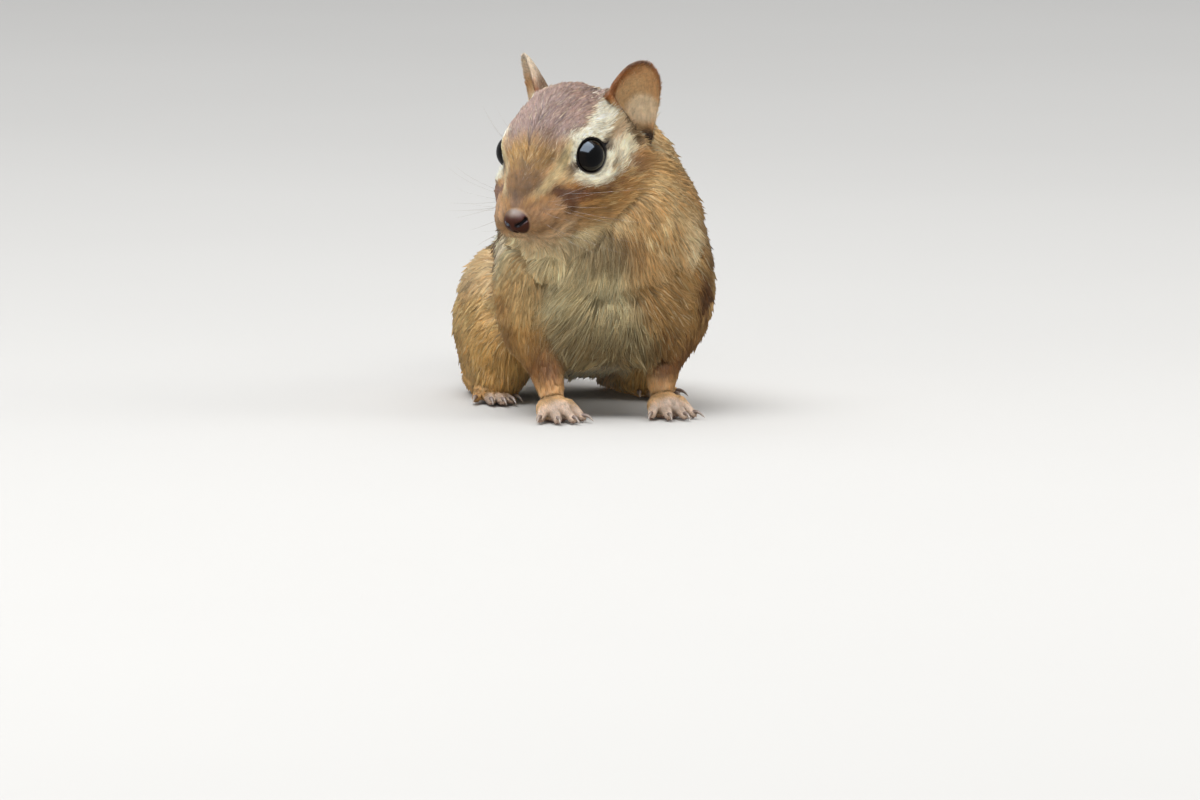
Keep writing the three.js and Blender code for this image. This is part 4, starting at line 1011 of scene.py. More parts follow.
    # painted shade on the upper part of the left foreleg
    w = ramp(np.linalg.norm((p - vec(12.7, -8.0, 16.0)) / vec(5.5, 5, 7), axis=1) + 0.08 * wob, 1.2, 0.45)
    out = out * (1 - w[:, None] * vec(0.42, 0.46, 0.52))
    # pale patch behind each ear's root
    for s in (1, -1):
        pr = np.linalg.norm((p - on_head(-22.6, s * 12.9, -2.4)) / 5.6, axis=1)
        out = lay(out, WHITE * 1.05, 0.96 * ramp(pr + 0.08 * wob, 1.1, 0.75))
    out = out * (1 - earness[:, None]) + ear * earness[:, None]
    return out * (1 + 0.14 * n1 + 0.12 * n2 + 0.10 * n3)[:, None]


# ----------------------------------------------------------- lie of the coat
_tail_t = np.linspace(0, 1, 60)
_tail_p = bezier(_tail_t)
_tail_d = unit(np.gradient(_tail_p, axis=0))


def tail_place(p):
    """Where along the tail's bone a point is: the index of the nearest of the bone's sampled points."""
    best, who = np.full(len(p), 1e9), np.zeros(len(p), int)
    for i in range(60):
        d = ((p - _tail_p[i]) ** 2).sum(1)
        m = d < best
        best[m] = d[m]
        who[m] = i
    return who


def flow(p, normal, W, earness):
    """The way the coat lies at a place, as a tangent direction."""
    h = to_head(p)
    s = np.where(h[:, 1] >= 0, 1.0, -1.0)
    a, b, c = h[:, 0], np.abs(h[:, 1]), h[:, 2]
    # head: back from the nose, a little down over the cheek, out over the crown
    fh = np.zeros_like(p)
    k_cheek, k_crown = ramp(c, -3, -10), ramp(c, 4, 10)
    back = np.stack([-np.ones_like(a), s * (0.25 * ramp(a, 16, 8) * (1 - k_crown) + 0.22 * k_crown), -0.30 * k_cheek * ramp(a, 12, -6) + 0.10 * (1 - k_cheek) - 0.25 * k_crown], 1)
    fh = back @ HEAD
    for q in (1, -1):
        m = (s == q) & (np.linalg.norm(p - EYE_AT[q], axis=1) < 14)
        if m.any():
            o = EYE_AXIS[q]
            e = p[m] - EYE_AT[q]
            e = e - (e @ o)[:, None] * o
            rho = np.maximum(np.linalg.norm(e, axis=1), 0.5)
            r = e / rho[:, None]
            U = fh[m] - (fh[m] @ o)[:, None] * o
            k = np.minimum((4.4 / rho) ** 2, 1.0)
            v = U - k[:, None] * (2 * (U * r).sum(1)[:, None] * r - U)
            v = v + r * (0.35 * ramp(rho, 6.5, 4.2))[:, None]
            fh[m] = v
    const = {TRUNK: (0, 0.75, -0.65), NECK: (0, 0.5, -0.85), ARM: (0, 0.12, -1), FOREARM: (0, -0.25, -1), FOREFOOT: (0, -1, -0.30), THIGH: (0, 0.42, -0.9), HINDFOOT: (0, -1, -0.1)}
    out = fh * (W[:, SKULL] + W[:, NOSE])[:, None]
    for g, v in const.items():
        out = out + W[:, g, None] * unit(vec(*v))
    # the breast parts outwards from its middle
    m = W[:, TRUNK] * ramp(p[:, 1], 4, -4)
    out[:, 0] += m * np.clip((p[:, 0] + 2) / 40, -0.3, 0.3)
    who = tail_place(p)
    out = out + W[:, TAIL, None] * _tail_d[who]
    for q in (1, -1):
        m = (earness > 0.02) & (s == q)
        if m.any():
            at, o, u, nn = EARS[q]
            x, y, z = ear_local(p[m], q)
            r = unit(np.stack([np.maximum(x, 0) + 4.0, y * 0.8, z * 0], 1))
            v = r[:, 0, None] * o + r[:, 1, None] * u
            out[m] = out[m] * (1 - earness[m, None]) + v * earness[m, None]
    out = out + unit(rng.normal(size=p.shape)) * 0.02
    out = out - (out * normal).sum(1)[:, None] * normal
    return unit(out)


# ---------------------------------------------------------------- mesh helpers
def build(name, v, f, smooth=True, normals=None):
    me = bpy.data.meshes.new(name)
    me.vertices.add(len(v))
    me.vertices.foreach_set("co", put(v).astype(np.float32).ravel())
    me.loops.add(f.size)
    me.loops.foreach_set("vertex_index", f.astype(np.int32).ravel())
    me.polygons.add(len(f))
    me.polygons.foreach_set("loop_start", np.arange(0, f.size, f.shape[1], dtype=np.int32))
    me.polygons.foreach_set("loop_total", np.full(len(f), f.shape[1], np.int32))
    me.polygons.foreach_set("use_smooth", np.full(len(f), smooth))
    me.update(calc_edges=True)
    ob = bpy.data.objects.new(name, me)
    bpy.context.scene.collection.objects.link(ob)
    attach(ob, "root")
    return ob


def paint(ob, name, colour):
    at = ob.data.attributes.new(name, "FLOAT_COLOR", "POINT")
    rgba = np.ones((len(colour), 4), np.float32)
    rgba[:, :3] = np.clip(colour, 0, 1)
    at.data.foreach_set("color", rgba.ravel())


def number(ob, name, value):
    at = ob.data.attributes.new(name, "FLOAT", "POINT")
    at.data.foreach_set("value", np.asarray(value, np.float32))


def mesh_normals(v, f):
    n = np.cross(v[f[:, 1]] - v[f[:, 0]], v[f[:, 2]] - v[f[:, 0]])
    out = np.zeros_like(v)
    for d in range(3):
        for k in range(3):
            out[:, d] += np.bincount(f[:, k], n[:, d], len(v))
    return unit(out)


# ------------------------------------------------------------------- materials
class Nodes:
    def __init__(self, name):
        self.mat = bpy.data.materials.new(name)
        self.mat.use_nodes = True
        self.t = self.mat.node_tree
        self.t.nodes.clear()
        self.out = self.t.nodes.new("ShaderNodeOutputMaterial")
        self.bsdf = self.t.nodes.new("ShaderNodeBsdfPrincipled")
        self.t.links.new(self.bsdf.outputs[0], self.out.inputs[0])

    def add(self, kind, **kw):
        n = self.t.nodes.new(kind)
        for k, v in kw.items():
            if k.startswith("in_"):
                n.inputs[int(k[3:])].default_value = v
            else:
                setattr(n, k, v)
        return n

    def link(self, a, b):
        self.t.links.new(a, b)

    def attr(self, name):
        return self.add("ShaderNodeAttribute", attribute_name=name)

    def noise(self, scale, detail=3, rough=0.55, coords="Object", stretch=None):
        c = self.add("ShaderNodeTexCoord")
        src = c.outputs[coords]
        if stretch is not None:
            m = self.add("ShaderNodeMapping")
            m.inputs["Scale"].default_value = stretch
            self.link(src, m.inputs[0])
            src = m.outputs[0]
        n = self.add("ShaderNodeTexNoise")
        n.inputs["Scale"].default_value = scale
        n.inputs["Detail"].default_value = detail
        n.inputs["Roughness"].default_value = rough
        self.link(src, n.inputs["Vector"])
        return n.outputs[0]

    def mix(self, fac, a, b, mode="MIX"):
        m = self.add("ShaderNodeMix", data_type="RGBA", blend_type=mode)
        for sock, val in ((m.inputs[0], fac), (m.inputs[6], a), (m.inputs[7], b)):
            if hasattr(val, "links"):
                self.link(val, sock)
            elif isinstance(val, (int, float)):
                sock.default_value = val
            else:
                sock.default_value = (*val, 1)
        return m.outputs[2]

    def maths(self, op, a, b=None):
        m = self.add("ShaderNodeMath", operation=op)
        for i, val in enumerate((a, b)):
            if val is None:
                continue
            if hasattr(val, "links"):
                self.link(val, m.inputs[i])
            else:
                m.inputs[i].default_value = val
        return m.outputs[0]

    def span(self, x, lo, hi, a, b):
        m = self.add("ShaderNodeMapRange")
        self.link(x, m.inputs[0])
        for i, v in zip((1, 2, 3, 4), (lo, hi, a, b)):
            m.inputs[i].default_value = v
        return m.outputs[0]

    def bump(self, height, strength, distance):
        b = self.add("ShaderNodeBump")
        b.inputs["Strength"].default_value = strength
        b.inputs["Distance"].default_value = distance
        self.link(height, b.inputs["Height"])
        self.link(b.outputs[0], self.bsdf.inputs["Normal"])

    def set(self, **kw):
        for k, v in kw.items():
            self.bsdf.inputs[k.replace("_", " ")].default_value = v


def fur_material(name, rough, sheen):
    N = Nodes(name)
    col = N.attr("Col").outputs["Color"]
    grain = N.noise(900, 2, 0.5)
    N.link(N.mix(N.span(grain, 0.3, 0.7, 0.0, 0.16), col, (0.30, 0.22, 0.15)), N.bsdf.inputs["Base Color"])
    N.link(N.span(grain, 0.3, 0.7, rough - 0.06, rough + 0.08), N.bsdf.inputs["Roughness"])
    N.bsdf.inputs["Specular IOR Level"].default_value = 0.12
    N.bsdf.inputs["Sheen Weight"].default_value = sheen
    N.bsdf.inputs["Sheen Roughness"].default_value = 0.45
    return N.mat


def skin_material():
    N = Nodes("skin")
    col = N.attr("Col").outputs["Color"]
    bare = N.attr("bare").outputs["Fac"]
    wet = N.attr("wet").outputs["Fac"]
    fine = N.noise(2600, 3, 0.6)
    streak = N.noise(1500, 2, 0.5, stretch=(1.0, 1.0, 0.35))
    shade = N.mix(N.span(streak, 0.35, 0.7, 0.0, 0.35), col, (0.10, 0.07, 0.045))
    shade = N.mix(bare, shade, col)
    N.link(shade, N.bsdf.inputs["Base Color"])
    r = N.maths("SUBTRACT", N.span(fine, 0.3, 0.7, 0.58, 0.72), N.maths("MULTIPLY", wet, 0.22))
    N.bsdf.inputs["Specular IOR Level"].default_value = 0.16
    N.link(r, N.bsdf.inputs["Roughness"])
    N.bsdf.inputs["Subsurface Weight"].default_value = 0.08
    N.bsdf.inputs["Subsurface Radius"].default_value = (0.0012, 0.0006, 0.0004)
    N.bsdf.inputs["Subsurface Scale"].default_value = 1.0
    N.bump(N.maths("ADD", fine, streak), 0.35, 0.00012)
    return N.mat


def eye_material():
    N = Nodes("eyeball")
    t = N.attr("angle").outputs["Fac"]
    rays = N.noise(700, 3, 0.6)
    iris = N.mix(rays, (0.003, 0.002, 0.002), (0.006, 0.004, 0.003))
    pupil = N.span(t, 0.50, 0.56, 1.0, 0.0)
    edge = N.span(t, 0.86, 1.0, 0.0, 1.0)
    c = N.mix(pupil, iris, (0.0015, 0.0015, 0.002))
    c = N.mix(edge, c, (0.003, 0.002, 0.002))
    N.link(c, N.bsdf.inputs["Base Color"])
    N.set(Roughness=0.13)
    N.bsdf.inputs["Specular IOR Level"].default_value = 0.12
    N.bsdf.inputs["Coat Weight"].default_value = 0.25
    N.bsdf.inputs["Coat Roughness"].default_value = 0.10
    N.bsdf.inputs["Coat IOR"].default_value = 1.38
    return N.mat


def claw_material():
    N = Nodes("claw")
    t = N.attr("along").outputs["Fac"]
    g = N.noise(1800, 3, 0.6, stretch=(1, 0.2, 1))
    c = N.mix(t, (0.16, 0.10, 0.075), (0.42, 0.34, 0.27))
    c = N.mix(N.span(g, 0.35, 0.7, 0, 0.5), c, (0.08, 0.05, 0.04))
    N.link(c, N.bsdf.inputs["Base Color"])
    N.link(N.span(g, 0.3, 0.7, 0.45, 0.6), N.bsdf.inputs["Roughness"])
    N.bsdf.inputs["Specular IOR Level"].default_value = 0.2
    N.bump(g, 0.3, 0.00005)
    return N.mat


def whisker_material():
    N = Nodes("whisker")
    t = N.attr("along").outputs["Fac"]
    g = N.noise(400, 2, 0.5)
    c = N.mix(t, (0.16, 0.11, 0.08), (0.40, 0.33, 0.26))
    c = N.mix(N.span(g, 0.4, 0.7, 0, 0.3), c, (0.3, 0.25, 0.2))
    N.link(c, N.bsdf.inputs["Base Color"])
    N.set(Roughness=0.42)
    return N.mat


# ------------------------------------------------------------------- the skin
sn = mesh_normals(verts, tris)
sS, sC, sW, sD, sE = skin_field(verts, True)
hv = to_head(verts)
side_v = np.where(hv[:, 1] >= 0, 1, -1)
colour = coat_colour(verts + sn * np.minimum(sD, 2.0)[:, None] * (1 - sE)[:, None], sW, sE, sn[:, 2]) * (0.86 + 0.14 * sE[:, None])


def nose_mask(h):
    d = np.linalg.norm((h - vec(19.6, 0, -5.6)) / vec(3.4, 3.7, 3.5), axis=1)
    return ramp(d, 1.06, 0.9)


def lid_field(p):
    """Distance from the lid's edge ring round each eye, and to the dark corners."""
    ring, corner = np.full(len(p), 9.0), np.full(len(p), 9.0)
    for s in (1, -1):
        c, o = EYE_AT[s], EYE_AXIS[s]
        q = p - c
        x = q @ o
        y = np.linalg.norm(q - x[:, None] * o, axis=1)
        m = np.linalg.norm(q, axis=1) < 9
        ring[m] = np.hypot(x - LID_OFF, y - LID_R)[m]
        u = dir_head((0, 0, 1), s)
        for (ca, cb, cc), k in (((5.6, 9.0, 0.2), 0.75), ((-7.0, 13.9, 0.9), 1.05)):
            q0 = on_head(ca, s * cb, cc)
            e = q0 - c
            e = e - (e @ o) * o
            start = c + o * LID_OFF + unit(e) * LID_R
            w = p[m] - start
            d = unit(q0 - start)
            L = np.linalg.norm(q0 - start)
            t = np.clip(w @ d / L, 0, 1)
            r = np.linalg.norm(w - (t * L)[:, None] * d, axis=1) - (1.0 - 0.85 * t) * k
            corner[m] = np.minimum(corner[m], r)
    return ring, corner


nm = nose_mask(hv)
ring, corner = lid_field(verts)
bare = np.maximum(nm, np.maximum(ramp(ring, 0.8, 0.55), ramp(corner, 0.2, -0.3)))
low = ramp(verts[:, 2], 1.4, 0.6) * (sW[:, FOREFOOT] + sW[:, HINDFOOT])
colour = lay(colour, srgb(70, 54, 42), ramp(corner, 0.7, -0.1))
colour = lay(colour, srgb(22, 16, 14), np.maximum(ramp(ring, 0.85, 0.55), ramp(corner, -0.1, -0.5)))
# the nose pad dark maroon, greyer over its top as a painted highlight
nose_c = lay(np.tile(srgb(62, 28, 13), (len(verts), 1)), srgb(112, 90, 68), ramp(hv[:, 2], -4.0, -2.6) * 0.85)
nose_c = lay(nose_c, srgb(48, 21, 11), ramp(hv[:, 2], -6.2, -7.8))
# painted shade: near-black in and around the nostrils' openings
hole = np.minimum(*(capsule(hv, vec(20.6, s * 1.15, -5.5), vec(18.6, s * 2.5, -4.9), 0.0) for s in (1, -1)))
nose_c = lay(nose_c, srgb(16, 8, 7), ramp(hole, 0.8, 0.4))
colour = lay(colour, nose_c, nm)
mouth_d, _ = to_line(np.stack([hv[:, 0], np.abs(hv[:, 1]), hv[:, 2]], 1), MOUTH)
colour = lay(colour, srgb(104, 66, 50), ramp(mouth_d, 0.9, 0.35) * 0.85)
skin = build("skin", verts, tris)
paint(skin, "Col", colour)
number(skin, "bare", np.maximum(bare, low))
number(skin, "wet", np.maximum(nm * 0.9, ramp(ring, 0.75, 0.5)))
skin.data.materials.append(skin_material())
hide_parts(*[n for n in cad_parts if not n.startswith("eye")])
say("skin built")
bpy.context.view_layer.objects.active = skin
skin.select_set(True)
skin.data.uv_layers.new(name="OFBake")
bpy.ops.object.mode_set(mode="EDIT")
bpy.ops.mesh.select_all(action="SELECT")
bpy.ops.uv.smart_project(angle_limit=rad(66), island_margin=0.003, area_weight=0.6)
bpy.ops.object.mode_set(mode="OBJECT")
skin.select_set(False)
uv_skin = np.zeros(len(tris) * 6, np.float32)
skin.data.uv_layers["OFBake"].data.foreach_get("uv", uv_skin)
uv_skin = uv_skin.reshape(-1, 3, 2).astype(float)
say(f"unwrapped, uv {uv_skin.min():.3f} {uv_skin.max():.3f}")

# ------------------------------------------------------------------- the coat
# Tufts: a thin closed kite each, from a root point over a wider middle to a tip.


def coat_plan(p, normal, W, earness, depth):
    """How many tufts to a square millimetre, how long and how wide."""
    h = to_head(p)
    a, b, c = h[:, 0], np.abs(h[:, 1]), h[:, 2]
    hd = W[:, SKULL] + W[:, NOSE]
    rho = np.minimum(*(np.linalg.norm(p - EYE_AT[s], axis=1) for s in (1, -1)))
    L_head = 3.0 + 2.0 * ramp(c, -5, -11) * ramp(a, 6, -6) + 1.6 * ramp(a, -9, -18)
    L_head = L_head * (1 - ramp(a, 3, 15)) + 1.45 * ramp(a, 3, 15)
    L_head = L_head * (1 - ramp(rho, 9.0, 4.8)) + 0.75 * ramp(rho, 9.0, 4.8)
    n_head = 27 + 20 * ramp(a, 0, 10) + 12 * ramp(rho, 9, 5)
    L = {TRUNK: 7.2, NECK: 6.6, ARM: 5.0, FOREARM: 2.8, FOREFOOT: 1.2, THIGH: 6.4, HINDFOOT: 1.3, TAIL: 11.5}
    n = {TRUNK: 11.5, NECK: 20.0, ARM: 16, FOREARM: 24, FOREFOOT: 24, THIGH: 12.0, HINDFOOT: 14, TAIL: 24.0}
    wd = {TRUNK: 0.18, NECK: 0.14, ARM: 0.155, FOREARM: 0.13, FOREFOOT: 0.10, THIGH: 0.17, HINDFOOT: 0.11, TAIL: 0.17}
    length, many, width = hd * L_head, hd * n_head, hd * (0.105 + 0.045 * ramp(L_head, 1, 5))
    for g in L:
        length = length + W[:, g] * L[g]
        many = many + W[:, g] * n[g]
        width = width + W[:, g] * wd[g]
    tuft = np.maximum(*(ramp(np.linalg.norm(p - on_head(-22.6, s * 12.9, -2.4), axis=1), 6.0, 4.6) for s in (1, -1))) * (1 - earness)
    length = length + 2.6 * tuft
    many = many + 16 * tuft
    length = length * (1 - earness) + 0.85 * earness
    near = np.maximum(ramp(base_distance(h), 4.0, 2.0), ramp(slit_distance(h), 2.6, 1.0)) * (1 - earness)
    length = length * (1 - 0.25 * fold_at(p))
    many = many * (1 + 0.4 * fold_at(p))
    length = length * (1 - near) + 0.75 * near
    many = many * (1 - earness) + 22 * earness
    many = many + 10 * near
    width = width * (1 - earness) + 0.085 * earness
    # underneath and against the floor, fewer
    many = many * (1 - 0.65 * ramp(normal[:, 2], -0.55, -0.9) * ramp(p[:, 2], 14, 4))
    return many, length, width


tv = verts[tris]
tn = np.cross(tv[:, 1] - tv[:, 0], tv[:, 2] - tv[:, 0])
area = np.linalg.norm(tn, axis=1) / 2
tnu = unit(tn)
cen = tv.mean(1)
cW, cE2, cDp = sW[tris].mean(1), sE[tris].mean(1), sD[tris].mean(1)
many, _, _ = coat_plan(cen, tnu, cW, cE2, cDp)
hc3 = to_head(cen)
ring_c, corner_c = lid_field(cen)
mouth_c, _ = to_line(np.stack([hc3[:, 0], np.abs(hc3[:, 1]), hc3[:, 2]], 1), MOUTH)
eye_near = np.minimum(*(np.linalg.norm(cen - EYE_AT[s], axis=1) for s in (1, -1)))
inside_lid = np.zeros(len(cen), bool)
for s in (1, -1):
    q = cen - EYE_AT[s]
    x = q @ EYE_AXIS[s]
    y = np.linalg.norm(q - x[:, None] * EYE_AXIS[s], axis=1)
    inside_lid |= (np.linalg.norm(q, axis=1) < 4.9) & (y < LID_R + 0.25) & (x > -4.4)
    inside_lid |= np.linalg.norm(q, axis=1) < 4.45
many = many * ((slit_distance(hc3) > 0.5) | (cen[:, 2] < 50)) * (nose_mask(hc3) < 0.3) * (mouth_c > 0.42) * (corner_c > -0.35) * ~inside_lid
sole = (cen[:, 2] < 0.5) & (cW[:, FOREFOOT] + cW[:, HINDFOOT] > 0.3)
many = many * ~sole * (cen[:, 2] > 0.12)
SCALE = 1.0
# thinner in the ear's cup, where the skin shows
cup = np.zeros(len(cen))
for s in (1, -1):
    x, y, z = ear_local(cen, s)
    rho = np.hypot(np.maximum(x, 0), y)
    th = np.degrees(np.arctan2(y, np.maximum(x, 1e-6)))
    tt = rho / np.interp(th, EAR_T, EAR_RAD)
    cup = np.maximum(cup, (hc3[:, 1] * s > 0) * (tnu @ EARS[s][3] > 0.15) * ramp(tt, 1.0, 0.75) * cE2)
many = many * (1 - 0.55 * cup)
expect = area * many * SCALE
LIMIT = 352000
say(f"{expect.sum():.0f} tufts wanted")
if expect.sum() > LIMIT:
    expect *= LIMIT / expect.sum()
count = np.floor(expect + rng.random(len(expect))).astype(int)
face = np.repeat(np.arange(len(tris)), count)
K = len(face)
r1, r2 = rng.random(K), rng.random(K)
fl = r1 + r2 > 1
r1[fl], r2[fl] = 1 - r1[fl], 1 - r2[fl]
bary = np.stack([1 - r1 - r2, r1, r2], 1)
corner_ids = tris[face]
root = (verts[corner_ids] * bary[:, :, None]).sum(1)
nrm = unit((sn[corner_ids] * bary[:, :, None]).sum(1))
RW = (sW[corner_ids] * bary[:, :, None]).sum(1)
RE = (sE[corner_ids] * bary).sum(1)
RD = (sD[corner_ids] * bary).sum(1)
ruv = (uv_skin[face] * bary[:, :, None]).sum(1)
_, length, width = coat_plan(root, nrm, RW, RE, RD)
say(f"{K} tufts to lay")

lie = flow(root, nrm, RW, RE)
across = np.cross(nrm, lie)
# locks: neighbouring tufts lean together
n_a, n_b = noise(root, 2.6, 1.7), noise(root, 2.6, 9.1)
n_c = noise(root, 1.1, 4.4)
streak = sum(noise(root + lie * (t * np.clip(length, 0.8, 4.0))[:, None], 0.62, 5.7) for t in (-0.5, -0.25, 0.0, 0.25, 0.5)) / 5
shaggy = np.clip(length / 7.0, 0.15, 1.2)
turn = 0.75 * n_a * shaggy + 0.55 * n_c * np.clip(length / 4, 0.3, 1) + rng.normal(0, 0.10, K)
d0 = unit(lie * np.cos(turn)[:, None] + across * np.sin(turn)[:, None])
length = length * (0.72 + 0.5 * rng.random(K)) * (1 + 0.5 * n_b)
length = np.where(RW[:, TAIL] > 0.5, length * (0.75 + 0.35 * rng.random(K)), length)

# the tail's hair stands off its core; on the rest it lies in the coat's depth
is_tail = RW[:, TAIL] > 0.5
ear_like = RE > 0.45
depth_r = np.where(ear_like, 0.28, RD)
lift_tip = np.clip(0.56 + 0.32 * rng.random(K) + 0.25 * n_b + 0.9 * streak, 0.25, 1.0)
stray = rng.random(K) < 0.03
lift_tip = np.where(stray & ~ear_like, lift_tip + 0.2, lift_tip)
lift_tip = lift_tip * (1 - 0.25 * fold_at(root))
lift_mid = lift_tip * (0.66 + 0.16 * rng.random(K))


def settle(p, level, rounds=2):
    """Moves points onto the surface at that height over the skin."""
    for _ in range(rounds):
        g = slope_S(p, 0.5)
        g2 = np.maximum((g * g).sum(1), 0.25)
        p = p + g * (np.clip(level - sample_S(p), -1.6, 1.6) / g2)[:, None]
    return p


# in folds the hair is cut short, so it doesn't run into the form before it
wrist = (RW[:, FOREARM] + RW[:, FOREFOOT] > 0.5) & (root[:, 2] > 6.0) & (root[:, 2] < 11.5)
for _ in range(4):
    deep = np.zeros(K, bool)
    for t in (0.5, 0.75, 1.0):
        deep |= sample_S(root + d0 * (length * t)[:, None]) < -(0.25 + 0.06 * length)
    length = np.where(deep & ~ear_like & ~wrist, length * 0.72, length)
length = np.maximum(length, 0.5)
mid = root + d0 * (length * 0.46)[:, None] + nrm * (depth_r * lift_mid * 0.8)[:, None]
tip = root + d0 * (length * 0.98)[:, None] + nrm * (depth_r * lift_tip * 0.8)[:, None]
far = ~ear_like & (length > 0.9)
dm_, dt_ = depth_at(mid[far]), depth_at(tip[far])
lm = np.minimum(dm_, RD[far] + 1.2) * lift_mid[far]
lt = np.minimum(dt_, RD[far] + 1.2) * lift_tip[far]
mid[far] = settle(mid[far], lm, 2)
tip[far] = settle(tip[far], lt, 3)
# keep each tuft's own length, so none is drawn out between two surfaces
for _ in range(2):
    d = tip - mid
    L = np.linalg.norm(d, axis=1)
    tip = mid + d * (np.minimum(L, length * 0.62) / np.maximum(L, 1e-6))[:, None]
    d = mid - root
    L = np.linalg.norm(d, axis=1)
    mid = root + d * (np.minimum(L, length * 0.6) / np.maximum(L, 1e-6))[:, None]
# past the tail's end the hair runs straight on and draws together
t_end, t_way = TAIL_PATH[3], unit(TAIL_PATH[3] - TAIL_PATH[2])
m = is_tail & ((root - t_end) @ t_way > -7.0)
f = ramp((root - t_end) @ t_way, -7.0, -2.5)[m][:, None]
way = unit(t_way + 0.22 * nrm[m] * (1 - 0.6 * f) + unit(rng.normal(size=(m.sum(), 3))) * 0.10)
L = np.minimum(length[m], 7.5)[:, None]
mid[m] = mid[m] * (1 - f) + (root[m] + way * L * 0.48) * f
tip[m] = tip[m] * (1 - f) + (root[m] + unit(way + t_way * 0.4) * L) * f
# the pale hair behind each ear stands up and out
for s in (1, -1):
    m = ~ear_like & (np.linalg.norm(root - on_head(-22.6, s * 12.9, -2.4), axis=1) < 5.6)
    out_ = dir_head((-0.52, 0.60, 0.60), s) + unit(rng.normal(size=(m.sum(), 3))) * 0.22
    L = np.full(m.sum(), 7.4) * (0.7 + 0.4 * rng.random(m.sum()))
    mid[m] = root[m] + unit(out_ + lie[m] * 0.1) * (L * 0.5)[:, None]
    tip[m] = root[m] + unit(out_) * L[:, None]
# never over the eye
for s in (1, -1):
    c = EYE_AT[s]
    for q in (mid, tip):
        e = q - c
        r = np.linalg.norm(e, axis=1)
        y = np.linalg.norm(e - (e @ EYE_AXIS[s])[:, None] * EYE_AXIS[s], axis=1)
        m = (r < 9) & (y < LID_R + 0.45) & (e @ EYE_AXIS[s] > 0)
        push = e - (e @ EYE_AXIS[s])[:, None] * EYE_AXIS[s]
        q[m] = (q + push / np.maximum(y, 0.3)[:, None] * (LID_R + 0.45 - y)[:, None])[m]
root_in = root - nrm * 0.18
tip[:, 2] = np.maximum(tip[:, 2], 0.15)
mid[:, 2] = np.maximum(mid[:, 2], 0.12)

# colours: by the place where the tuft shows
show = root * 0.35 + tip * 0.65
show = show + rng.normal(size=(K, 3)) * (0.16 + 0.06 * length)[:, None]
show = np.where(ear_like[:, None], root + rng.normal(size=(K, 3)) * 0.12, show)
base = coat_colour(show, RW, RE, nrm[:, 2])
behind_ear = ~ear_like & np.any([np.linalg.norm(root - on_head(-22.6, s * 12.9, -2.4), axis=1) < 5.6 for s in (1, -1)], axis=0)
base[behind_ear] = srgb(232, 228, 212)
v = rng.normal(0, 1, K)
lum = 1 + 0.09 * v + 0.10 * n_c + 0.09 * n_a + (1.0 + 0.5 * RW[:, SKULL]) * streak * (1 - 0.6 * RE)
base = base * lum[:, None]
warm = rng.normal(0, 0.05, K)
base = base * np.stack([1 + warm, np.ones(K), 1 - warm], 1)
# ticked hairs: dark or pale ones among the others
grizzle = np.clip(0.20 * RW[:, SKULL] * ramp(to_head(root)[:, 2], 0, 5) + 0.16 * RW[:, TRUNK] + 0.14 * RW[:, THIGH] + 0.1 * RW[:, NECK] + 0.35 * RW[:, TAIL], 0, 0.4)
pick = rng.random(K)
dark_one, pale_one = pick < grizzle * 0.6, pick > 1 - grizzle * 0.55
base[dark_one] *= 0.6
base[pale_one] = base[pale_one] * 0.7 + srgb(238, 222, 180) * 0.3
root_c = base * 0.80
mid_c = base * 0.97
tip_c = np.clip(base * 1.08, 0, 0.92)
ft = is_tail & (rng.random(K) < 0.55)
tip_c[ft] = srgb(206, 190, 160) * (0.8 + 0.3 * rng.random(ft.sum()))[:, None]

# the wide middle, each rolled a little its own way
axis_ = unit(tip - root_in)
side_a = unit(np.cross(nrm, axis_))
side_b = np.cross(axis_, side_a)
w = width * (0.8 + 0.45 * rng.random(K))
roll = np.clip(rng.normal(0, 0.55, K), -1.2, 1.2)
sidev = side_a * np.cos(roll)[:, None] + side_b * np.sin(roll)[:, None]
m_l, m_r = mid + sidev * (w * 0.5)[:, None], mid - sidev * (w * 0.5)[:, None]
tv4 = np.stack([root_in, m_l, m_r, tip], 1)
tv4[:, :, 2] = np.maximum(tv4[:, :, 2], 0.05)
PATTERN = np.array([[0, 2, 1], [1, 2, 3], [0, 1, 3], [0, 3, 2]])
# in folds, where the two walls' slopes disagree, the light falls as on the form around them
wide = np.stack([sample(_C, (CX, CY, CZ), root + nrm * 1.5 + o) - sample(_C, (CX, CY, CZ), root + nrm * 1.5 - o) for o in np.eye(3) * 3.0], 1)
in_fold = (0.75 * fold_at(root) * ~ear_like)[:, None]
n_root = unit(nrm * (1 - in_fold) + unit(wide) * in_fold)
n_mid, n_tip = n_root.copy(), n_root.copy()
for q, to in ((mid, n_mid), (tip, n_tip)):
    g = slope_S(q, 0.7)
    L = np.maximum(np.linalg.norm(g, axis=1), 1e-6)
    g = g / L[:, None]
    t = (ramp((g * n_root).sum(1), 0.15, 0.6) * ramp(L, 0.3, 0.5) * ~ear_like)[:, None] * (1 - in_fold)
    to[:] = unit(n_root * (1 - t) + g * t)
tn4 = np.stack([unit(n_root + n_mid), unit(n_mid * 0.78 + side_a * 0.36), unit(n_mid * 0.78 - side_a * 0.36), unit(n_tip * 0.85 + axis_ * 0.2)], 1)
tc4 = np.stack([root_c, mid_c, mid_c * 0.96, tip_c], 1)
